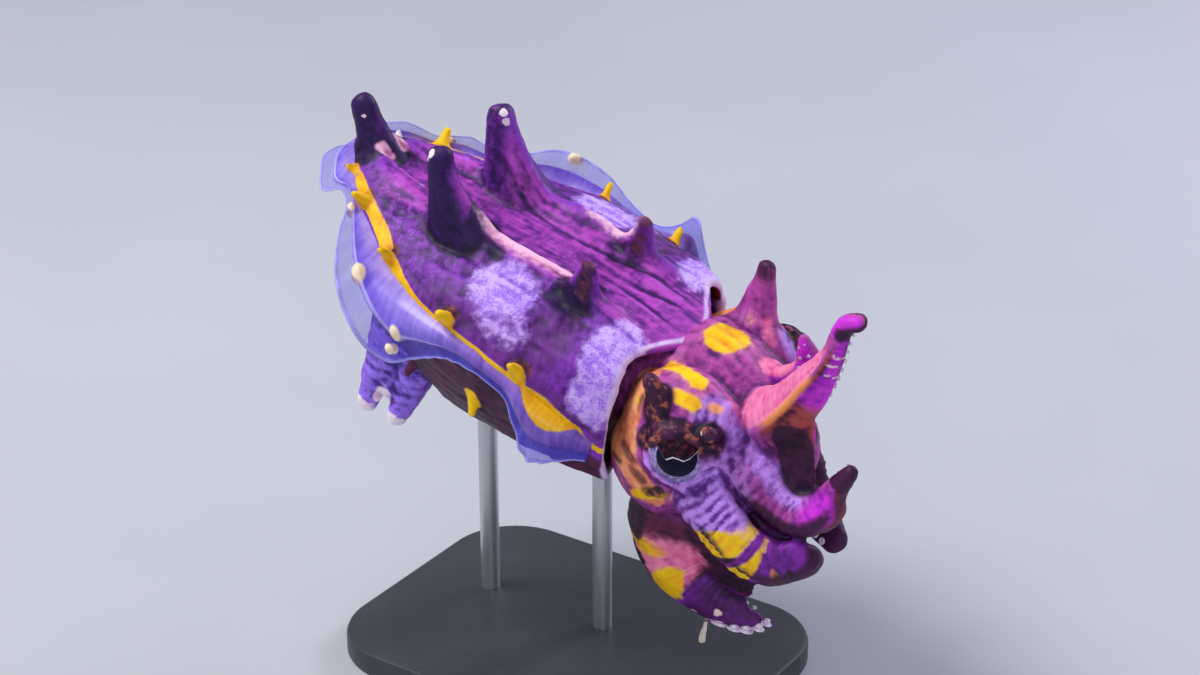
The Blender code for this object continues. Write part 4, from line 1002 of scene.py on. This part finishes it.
# Eyes
IRIS_AXIS = (0.40, 0.80, 0.44)
PUPIL_EDGE = ((-4.6, 1.9), (-3.4, 1.2), (-2.5, 0.1), (-1.7, -0.6), (-0.8, 0.0), (0.0, -0.1), (0.8, -0.3),
              (1.6, 0.2), (2.3, 1.1), (3.4, 1.9), (4.6, 2.4))


def build_eye(name, side):
    """An eyeball with a dark flap over the top of its pupil, and the values that place its markings."""
    points, faces = ellipsoid((0, 0, 0), (1, 1, 1), 200, 130)
    axis = unit(mirrored(IRIS_AXIS, side))
    right = unit(np.cross([0, 0, 1.0], axis)) * -side
    up = unit((0, 0, 1.0) - axis[2] * axis)
    u, v, ahead = points @ right * EYE_RADIUS, points @ up * EYE_RADIUS, points @ axis
    over = v - np.interp(u, *np.array(PUPIL_EDGE).T)
    shown = ramp(0.0, 0.2, ahead)
    flap = ramp(-0.10, 0.22, over) * shown
    lobes = 0.16 * np.sin(u * 2.3 + 0.6) * ramp(0.2, 1.4, over)
    radius = EYE_RADIUS + flap * (0.42 + lobes * shown) + 0.12 * hump(np.hypot(u + 0.4, v), 3.9, 0.5) * shown
    obj = piece(name, [(points * radius[:, None] + mirrored(EYE_CENTRE, side), faces)])
    keep_values(obj.data, {
        "flap": flap, "pupil": ramp(3.1, 2.9, np.hypot(u + 0.3, v + 0.1)) * shown,
        "edge": hump(over, 0.03, 0.17) * ramp(3.9, 3.0, np.abs(u + 0.4)) * shown,
        "crescent": ramp(4.75, 4.4, np.hypot(u, v + 0.1)) * shown,
    })
    outward(obj.data)
    return in_pose(obj)


# Shader arithmetic

class Wire:
    """A shader socket that does arithmetic. Each operator adds one Math node."""

    def __init__(self, tree, socket=None):
        self.tree, self.socket = tree, socket

    def node(self, kind, settings=None, values=None, out=0):
        """Adds a node: first its settings, then the values or links of its sockets."""
        made = self.tree.nodes.new(kind)
        for name, setting in (settings or {}).items():
            setattr(made, name, setting)
        for key, value in (values or {}).items():
            if isinstance(value, Wire):
                self.tree.links.new(value.socket, made.inputs[key])
            else:
                made.inputs[key].default_value = value
        return Wire(self.tree, made.outputs[out])

    def math(self, operation, one, other=0.0):
        return self.node("ShaderNodeMath", {"operation": operation}, {0: one, 1: other})

    def most(self, other):
        return self.math("MAXIMUM", self, other)

    def least(self, other):
        return self.math("MINIMUM", self, other)

    def step(self, low, high):
        """0 below low, 1 above high, and smooth between."""
        return self.node("ShaderNodeMapRange", {"interpolation_type": "SMOOTHSTEP"},
                         {"Value": self, "From Min": low, "From Max": high})

    def mix(self, one, other):
        """A colour between two others, by this value."""
        return self.node("ShaderNodeMix", {"data_type": "RGBA"}, {0: self, 6: colour(one), 7: colour(other)}, 2)

    def value(self, name):
        return self.node("ShaderNodeAttribute", {"attribute_name": name}, out=2)

    def vector(self, name):
        return self.node("ShaderNodeAttribute", {"attribute_name": name}, out=1)

    def place(self):
        return self.node("ShaderNodeTexCoord", out=3)

    def bent(self, where, scale, amount):
        """A place shifted by noise, so that a pattern there isn't regular."""
        wave = self.node("ShaderNodeTexNoise", None, {"Vector": where, "Scale": scale, "Detail": 2.0}, 1)
        wave = self.node("ShaderNodeVectorMath", {"operation": "SCALE"}, {0: wave, "Scale": amount})
        return self.node("ShaderNodeVectorMath", {"operation": "ADD"}, {0: where, 1: wave})

    def noise(self, where, scale, detail=3.0, rough=0.55):
        return self.node("ShaderNodeTexNoise", None,
                         {"Vector": where, "Scale": scale, "Detail": detail, "Roughness": rough})

    def bump(self, strength, depth):
        """A normal from this value as a height. Depth is in metres."""
        return self.node("ShaderNodeBump", None, {"Strength": strength, "Distance": depth, "Height": self})


for short, full in (("add", "ADD"), ("sub", "SUBTRACT"), ("mul", "MULTIPLY")):
    setattr(Wire, f"__{short}__", lambda one, other, kind=full: one.math(kind, one, other))
    setattr(Wire, f"__r{short}__", lambda one, other, kind=full: one.math(kind, other, one))


def colour(given):
    """A colour as its sRGB hex code, or a wire as it is."""
    if isinstance(given, Wire):
        return given
    parts = [int(given[k : k + 2], 16) / 255 for k in (0, 2, 4)]
    return (*(c / 12.92 if c <= 0.04045 else ((c + 0.055) / 1.055) ** 2.4 for c in parts), 1.0)


def material(name, finish, **constants):
    """A material: its constants go on the shader's own sockets, and the finish adds what varies."""
    made = bpy.data.materials.new(name)
    made.use_nodes = True
    shader = made.node_tree.nodes["Principled BSDF"]
    for key, value in constants.items():
        shader.inputs[key.replace("_", " ")].default_value = value
    for key, wire in finish(Wire(made.node_tree)).items():
        made.node_tree.links.new(wire.socket, shader.inputs[key])
    return made


# Each layer of paint: the value that places it, its light and deep colours, how ragged and how soft
# its edge is, and how strong it is. The veins have one colour only
MANTLE_LAYERS = (
    ("plateau", "c04cc4", "5c1c7c", 0.5, 0.45, 0.9), ("shade", "6c2c84", "3e1450", 0.7, 0.35, 0.8),
    ("veins", "b878f0"),
    ("pale", "dabcff", "aa74ee", 1.1, 0.34, 0.92), ("dark", "2c1250", "100524", 0.7, 0.16, 0.97),
    # The crest's pale pink is partly a painted highlight on the ridges, and the belly's dark partly painted
    # shade of the underside
    ("crest", "ffc8e0", "d878b0", 1.1, 0.40, 0.90), ("belly", "5c2444", "1e0a24", 0.4, 0.30, 0.97),
    ("flap", "a880ff", "3c1c94", 0.9, 0.40, 0.92), ("brown", "a04c20", "4c1c1c", 0.5, 0.30, 0.9),
    ("yellow", "ffcc0c", "f0a008", 0.35, 0.18, 1.0), ("cream", "fff0f4", "e8c0e0", 0.2, 0.20, 0.95),
    ("recess", "701828", "300a16", 0.2, 0.20, 1.0), ("rim", "e8d0fa", "b088e0", 0.2, 0.35, 0.9),
)
HEAD_LAYERS = (
    ("maroon", "6c2440", "2e0e2c", 0.5, 0.35, 0.95), ("lavender", "cc98fa", "6e309e", 0.4, 0.40, 0.92),
    ("plum", "8428ac", "3c0e54", 0.5, 0.35, 0.92), ("salmon", "ff94bc", "f0609c", 0.5, 0.40, 0.92),
    ("orange", "ffb070", "ec7858", 0.8, 0.40, 0.95), ("rust", "b04c3c", "661e2c", 0.5, 0.35, 0.95),
    ("magenta", "dc34e0", "8c10b4", 0.4, 0.45, 0.92), ("yellow", "ffd414", "ffac18", 0.9, 0.32, 1.0),
    ("dark", "40163a", "140418", 0.6, 0.25, 0.97), ("ember", "c87048", "8c3c3c", 1.9, 0.16, 0.75),
    # The keel's brighter orange is a painted highlight on arm I's ridge
    ("keel", "ffa050", "e86838", 0.3, 0.35, 0.9), ("cream", "fff0d8", "e0b0a8", 0.2, 0.30, 0.95),
)
# The colour of the painted shade in the skin's creases
CREASE_SHADE_COLOUR = "1e0630"


def skin_finish(light, deep, layers):
    def finish(pen):
        where = pen.place()
        mottle, broad = pen.noise(where, 780.0, 4.0, 0.6), pen.noise(where, 190.0)
        speck, streak = pen.noise(where, 2600.0, 3.0, 0.65), pen.noise(pen.vector("lie"), 1.0, 4.0, 0.6)
        relief = pen.value("relief")
        # Painted light and shade from the relief: the tone is lighter where the skin stands out and darker
        # where it is sunk
        lit = (relief - 0.5) * 0.55
        tone = (mottle * 0.60 + streak * 0.55 + broad * 0.35 + lit - 0.25).step(0.28, 0.72)
        fine = (speck * 0.75 + mottle * 0.45 + broad * 0.3 + lit - 0.25).step(0.38, 0.66)
        paint = tone.mix(deep, light)
        for name, high, *rest in layers:
            mask = pen.value(name)
            if not rest:
                lines = pen.node("ShaderNodeTexVoronoi", {"feature": "DISTANCE_TO_EDGE"},
                                 {"Vector": pen.bent(where, 420.0, 0.004), "Scale": 420.0})
                thin = (0.06 - lines).step(0.0, 0.05) * (mottle - 0.1).step(0.3, 0.5)
                paint = (thin * mask * 0.5).mix(paint, high)
                continue
            low, ragged, soft, strength = rest
            edge = mask + (mottle - 0.5) * ragged * (mask * 4).least(1.0)
            cover = edge.step(0.5 - soft, 0.5 + soft) * strength
            paint = cover.mix(paint, (fine if name == "pale" else tone).mix(low, high))
        # Painted shade in the creases
        paint = (relief.step(0.45, 0.08) * 0.50).mix(paint, CREASE_SHADE_COLOUR)
        height = streak * 0.45 + mottle * 0.40 + speck * 0.35
        return {"Base Color": paint, "Roughness": mottle * 0.22 + 0.42, "Normal": height.bump(0.55, 0.00022)}
    return finish


def fin_finish(pen):
    """Fleshy near its root, a clear film beyond the fold, with yellow paint at the front."""
    share, station = pen.value("share"), pen.value("station")
    cloud, ribs = pen.noise(pen.place(), 260.0), pen.noise(pen.vector("lie"), 1.0)
    tone = (cloud * 0.6 + ribs * 0.5).step(0.35, 0.75)
    fleshy = (share + (cloud - 0.5) * 0.16).step(0.66, 0.52)
    fold = pen.math("ABSOLUTE", share - 0.56).step(0.045, 0.0) * (1 - station)
    margin = share.step(0.90, 0.99)
    yellow = pen.value("front") + (cloud - 0.5) * 0.45
    drops = pen.value("drops").step(0.25, 0.55)
    lilac = share.step(0.05, 0.5).mix(tone.mix("9474e0", "ccb4f8"), tone.mix("6c50dc", "947cf0"))
    lilac = (station * 0.75).mix(lilac, tone.mix("5c2c9c", "9468d8"))
    paint = fleshy.mix(tone.mix("4c3ce0", "7468f8"), lilac)
    paint = margin.mix(fold.mix(paint, "c8b8ff"), "b8b0ff")
    paint = drops.mix(yellow.step(0.38, 0.62).mix(paint, tone.mix("f0a008", "ffcc0c")), "ffe8c0")
    solid = fleshy * (0.92 - station * 0.10)
    see = solid.most(margin * 0.5 + 0.26 + (tone - 0.5) * 0.10 + station * 0.16)
    see = see.most(yellow.step(0.3, 0.6)).most(drops).least(1.0)
    return {"Base Color": paint, "Alpha": see, "Roughness": cloud * 0.2 + 0.25,
            "Normal": ribs.bump(0.4, 0.0002)}


def eye_finish(pen):
    mottle, flap = pen.noise(pen.place(), 1500.0, 4.0, 0.65), pen.value("flap")
    ring = mottle.step(0.35, 0.7).mix("6c5a98", "b4a4d8")
    hood = mottle.step(0.45, 0.70).mix("12040e", "5a1c3c")
    paint = pen.value("crescent").step(0.3, 0.7).mix("200a28", ring)
    paint = flap.step(0.3, 0.7).mix(pen.value("pupil").step(0.3, 0.7).mix(paint, "040424"), hood)
    paint = pen.value("edge").step(0.35, 0.7).mix(paint, "f4f0fa")
    return {"Base Color": paint, "Roughness": flap * 0.30 + 0.22, "Normal": (mottle * flap).bump(0.3, 0.0001)}


def base_finish(pen):
    fleck, cloud = pen.noise(pen.place(), 2400.0, 2.0), pen.noise(pen.place(), 60.0)
    paint = (cloud * 0.6 + fleck * 0.4).step(0.3, 0.7).mix("2c2e33", "3a3c42")
    return {"Base Color": paint, "Roughness": cloud * 0.15 + 0.38, "Normal": fleck.bump(0.2, 0.00008)}


def clouded(scale, detail, low, high, deep, light, roughness_range, least_roughness, stretch=None):
    """A plain finish with a little noise in its colour and its roughness."""
    def finish(pen):
        where = pen.place()
        if stretch:
            where = pen.node("ShaderNodeMapping", None, {"Vector": where, "Scale": stretch})
        cloud = pen.noise(where, scale, detail)
        return {"Base Color": cloud.step(low, high).mix(deep, light),
                "Roughness": cloud * roughness_range + least_roughness}
    return finish


WET = dict(Coat_Weight=0.04, Coat_Roughness=0.3, Specular_IOR_Level=0.22, Subsurface_Weight=0.10,
           Subsurface_Scale=0.0015, Subsurface_Radius=(0.7, 0.6, 0.7))


# Suckers, made by Geometry Nodes

def sucker_tree():
    """A cup at each point of a mesh, turned along its facing and sized by its own value."""
    tree = bpy.data.node_groups.new("suckers", "GeometryNodeTree")
    for name, way, kind in (("Geometry", "INPUT", "Geometry"), ("Cup Radius", "INPUT", "Float"),
                            ("Cup Depth", "INPUT", "Float"), ("Finish", "INPUT", "Material"),
                            ("Geometry", "OUTPUT", "Geometry")):
        tree.interface.new_socket(name, in_out=way, socket_type=f"NodeSocket{kind}")
    given, out = tree.nodes.new("NodeGroupInput"), tree.nodes.new("NodeGroupOutput")
    points, radius, depth, finish = (Wire(tree, given.outputs[k]) for k in range(4))
    node = Wire(tree).node
    rim_path = node("GeometryNodeCurvePrimitiveCircle", None, {"Resolution": 14, "Radius": radius})
    rim_round = node("GeometryNodeCurvePrimitiveCircle", None, {"Resolution": 7, "Radius": radius * 0.24})
    rim = node("GeometryNodeCurveToMesh", None, {"Curve": rim_path, "Profile Curve": rim_round})
    stalk = node("GeometryNodeMeshCone", None, {
        "Vertices": 14, "Side Segments": 2, "Radius Top": radius * 0.98, "Radius Bottom": radius * 0.55,
        "Depth": depth})
    shift = node("ShaderNodeCombineXYZ", None, {"Z": depth * -1.0})
    stalk = node("GeometryNodeTransform", None, {"Geometry": stalk, "Translation": shift})
    cup = node("GeometryNodeJoinGeometry", None, {"Geometry": rim})
    tree.links.new(stalk.socket, cup.socket.node.inputs["Geometry"])
    facing = node("GeometryNodeInputNamedAttribute", {"data_type": "FLOAT_VECTOR"}, {"Name": "facing"})
    size = node("GeometryNodeInputNamedAttribute", {"data_type": "FLOAT"}, {"Name": "size"})
    turn = node("FunctionNodeAlignRotationToVector", {"axis": "Z"}, {"Vector": facing})
    placed = node("GeometryNodeInstanceOnPoints", None,
                  {"Points": points, "Instance": cup, "Rotation": turn, "Scale": size})
    real = node("GeometryNodeRealizeInstances", None, {"Geometry": placed})
    done = node("GeometryNodeSetMaterial", None, {"Geometry": real, "Material": finish})
    tree.links.new(done.socket, out.inputs["Geometry"])
    return tree


# Larger suckers that hang from the near fourth arm's tip: place and size
TIP_SUCKERS = (((47.6, -9.0, -38.9), 1.5), ((50.0, -8.6, -38.9), 1.2), ((51.6, -7.8, -38.8), 1.3),
               ((53.2, -7.0, -38.0), 1.1), ((54.2, -6.4, -36.8), 0.9))
# The share of an arm's length at which its rows of suckers start and end, and their pairs to each mm.
# Near arm II has them at its tip only
FIRST_SUCKER = {name: 0.90 if name == "right_2" else 0.36 for name in ARMS}
LAST_SUCKER, SUCKER_PAIRS = 0.97, 0.69


def build_suckers(finish):
    """Two alternating rows on each arm's inner face, smaller towards the tip. Near arm III shows one."""
    made = []
    for name, arm in ALL_ARMS.items():
        first = FIRST_SUCKER[name]
        pairs = max(2, int(arm.length * (LAST_SUCKER - first) * SUCKER_PAIRS))
        for k in range(pairs):
            share = first + (LAST_SUCKER - first) * (k / (pairs - 1)) ** 0.92
            for row in (-1,) if name == "right_3" else (-1, 1):
                place = min(0.985, share + 0.010 * row)
                size = (0.11 if arm.row == 1 else 0.15) * size_along(arm.widths, place) * (1 - 0.25 * place)
                made.append((*arm.spot(place, 0.42 * row, 0.35), size))
    made += [(spot, (0.1, -0.5, -1.0), size) for spot, size in TIP_SUCKERS]
    spots, facings, sizes = (np.array(values) for values in zip(*made))
    mesh = bpy.data.meshes.new("suckers")
    mesh.from_pydata(spots.tolist(), [], [])
    obj = added("suckers", mesh)
    keep_values(mesh, {"facing": facings, "size": sizes})
    grown = obj.modifiers.new("cups", "NODES")
    grown.node_group = sucker_tree()
    keys = {item.name: item.identifier for item in grown.node_group.interface.items_tree
            if item.in_out == "INPUT"}
    for name, value in (("Cup Radius", 0.8), ("Cup Depth", 0.9), ("Finish", finish)):
        grown[keys[name]] = value
    applied(obj)
    outward(obj.data)
    return in_pose(obj)


# Stand
BASE_LENGTH, BASE_WIDTH, BASE_THICKNESS, BASE_CORNER = 68.0, 50.0, 4.0, 12.0
# The base's rounded edge: how far in and how high, from its underside up
BASE_EDGE = ((0.5, 0.0), (0.15, 0.15), (0.0, 0.5), (0.0, BASE_THICKNESS - 0.8), (0.25, BASE_THICKNESS - 0.22),
             (0.8, BASE_THICKNESS))
# How far a rod starts inside the base and how far it ends below the top of its node
ROD_DIAMETER, ROD_IN_BASE, ROD_SHORT = 3.2, 0.35, 0.4
SHARP_DEG = 40


def upright(name, rings):
    """A piece of the stand, which isn't tilted with the animal."""
    obj = piece(name, [loft(rings)])
    obj.data.transform(Matrix.Scale(MM, 4))
    outward(obj.data)
    obj.data.shade_smooth()
    obj.data.set_sharp_from_angle(angle=math.radians(SHARP_DEG))
    return obj


def build_base():
    """The flat base: a rounded outline with a soft edge above and below."""
    a = circle(160)
    corner = columns(np.cos(a), np.sin(a))
    shift = np.sign(corner) * (BASE_LENGTH / 2 - BASE_CORNER, BASE_WIDTH / 2 - BASE_CORNER)
    return upright("base_plate", [columns(*(shift + corner * (BASE_CORNER - inset)).T, z)
                                  for inset, z in BASE_EDGE])


def build_rod(name, node):
    """A round rod in the place of its node, running a little way into the belly's skin."""
    low, high = (Vector(corner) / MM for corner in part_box(node))
    a = circle(64)
    x = (low.x + high.x) / 2 + ROD_DIAMETER / 2 * np.cos(a)
    y = (low.y + high.y) / 2 + ROD_DIAMETER / 2 * np.sin(a)
    rises = (-ROD_IN_BASE, 0.2, high.z - low.z - ROD_SHORT)
    return upright(name, [columns(x, y, low.z + rise) for rise in rises])


# Camera: the photograph's view, 25 degrees above level
CAMERA_UP, CAMERA_BACK = Vector((-0.2364, 0.3503, 0.9063)), Vector((0.5070, -0.7512, 0.4226))
CAMERA_RIGHT = Vector((0.8289, 0.5595, 0.0))
AIM_RIGHT, AIM_DOWN, CAMERA_DISTANCE = 11.23, 10.85, 384.62
LENS, SENSOR_WIDTH = 75.0, 36.0
# Lamps: name, place in metres, size, power and tint
LAMPS = (
    ("key", (-0.35, -0.25, 0.75), 0.35, 5.2, (1, 1, 1)),
    ("fill", (0.55, -0.65, 0.35), 0.5, 1.5, (0.93, 0.90, 1.0)),
    ("rim", (0.25, 0.65, 0.45), 0.4, 3.2, (0.85, 0.85, 1.0)),
)
SKY, SKY_STRENGTH = (0.80, 0.84, 1.0, 1.0), 0.38


def add_camera():
    data = bpy.data.cameras.new("camera")
    data.lens, data.sensor_width, data.clip_start = LENS, SENSOR_WIDTH, 0.01
    camera = added("camera", data)
    aim = Vector((-BODY_BACK, 0, BODY_HEIGHT)) + CAMERA_RIGHT * AIM_RIGHT - CAMERA_UP * AIM_DOWN
    turn = Matrix((CAMERA_RIGHT, CAMERA_UP, CAMERA_BACK)).transposed().to_4x4()
    camera.matrix_world = Matrix.Translation((aim + CAMERA_BACK * CAMERA_DISTANCE) * MM) @ turn
    bpy.context.scene.camera = camera


def add_stage():
    bm = bmesh.new()
    bmesh.ops.create_grid(bm, x_segments=1, y_segments=1, size=3.0)
    mesh = bpy.data.meshes.new("floor")
    bm.to_mesh(mesh)
    bm.free()
    floor = added("floor", mesh)
    mesh.materials.append(material("floor_finish", clouded(6.0, 3.0, 0.2, 0.8, "b8bac0", "c0c2c8", 0.1, 0.6)))
    world = bpy.data.worlds.new("studio")
    world.use_nodes = True
    shade = world.node_tree.nodes["Background"].inputs
    shade["Color"].default_value, shade["Strength"].default_value = SKY, SKY_STRENGTH
    bpy.context.scene.world = world
    bpy.context.scene.view_settings.view_transform = "Standard"
    for name, spot, size, power, tint in LAMPS:
        data = bpy.data.lights.new(name, "AREA")
        data.shape, data.size, data.energy, data.color = "DISK", size, power, tint
        lamp = added(name, data)
        lamp.location = spot
        toward = Vector((0, 0, BODY_HEIGHT * MM)) - Vector(spot)
        lamp.rotation_euler = toward.to_track_quat("-Z", "Y").to_euler()


def settle(obj, made, nodes):
    """Gives a piece its material and its body, and hides the nodes that it stands for."""
    obj.data.materials.clear()
    obj.data.materials.append(made)
    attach(obj, "root")
    if nodes:
        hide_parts(*nodes)


def arm_nodes():
    return [f"arm_{name}_{end}" for name in ARMS for end in ("root", "tip")]


def build_fin(name, side, rows):
    shell, shares, reach, drops = fin_shell(side, rows)
    fin = piece(name, [shell])
    x = read(fin.data.vertices, "co")[:, 0]
    limit = 3.9 * hump(x, 19.2, 4.8) - 0.8
    keep_values(fin.data, {
        "share": shares, "drops": drops, "station": ramp(-3, 6, x), "lie": columns(x * 1.3, reach * 0.15, 0),
        "front": ramp(limit + 1.0, limit - 1.0, reach) * ramp(9.5, 12.5, x)})
    outward(fin.data)
    return in_pose(fin)


def main():
    add_camera()
    add_stage()
    settle(build_mantle(),
           material("mantle_skin", skin_finish("8a38b8", "461664", MANTLE_LAYERS), **WET),
           ["mantle", "flap_right", "flap_left"])
    settle(build_head(),
           material("head_skin", skin_finish("be50a8", "68206e", HEAD_LAYERS), **WET),
           ["head", "funnel", *arm_nodes()])
    fin_look = material("fin_membrane", fin_finish, Coat_Weight=0.15, Coat_Roughness=0.15,
                        Specular_IOR_Level=0.3)
    for name, side, rows in (("fin_right", -1, RIGHT_FIN), ("fin_left", 1, LEFT_FIN)):
        settle(build_fin(f"{name}_membrane", side, rows), fin_look, [name])
    eye_look = material("eye", eye_finish, Coat_Weight=0.05, Coat_Roughness=0.04, Specular_IOR_Level=0.12)
    for name, side in (("eye_right", -1), ("eye_left", 1)):
        settle(build_eye(f"{name}_ball", side), eye_look, [name])
    pearly = clouded(900.0, 2.0, 0.35, 0.7, "e2c4e6", "fbf2f6", 0.2, 0.3)
    sucker_look = material("sucker", pearly, Coat_Weight=0.4, Coat_Roughness=0.15, Subsurface_Weight=0.2,
                           Subsurface_Scale=0.001)
    settle(build_suckers(sucker_look), sucker_look, [])
    settle(build_base(), material("stand_base", base_finish), ["stand_base"])
    brushed = clouded(0.12, 2.0, 0.3, 0.7, "c2c4c9", "cacccf", 0.05, 0.30, (60000.0, 60000.0, 900.0))
    rod_look = material("stand_rod", brushed, Metallic=0.85)
    for node in ("stand_rod_front", "stand_rod_rear"):
        settle(build_rod(f"{node[6:]}_round", node), rod_look, [node])


main()
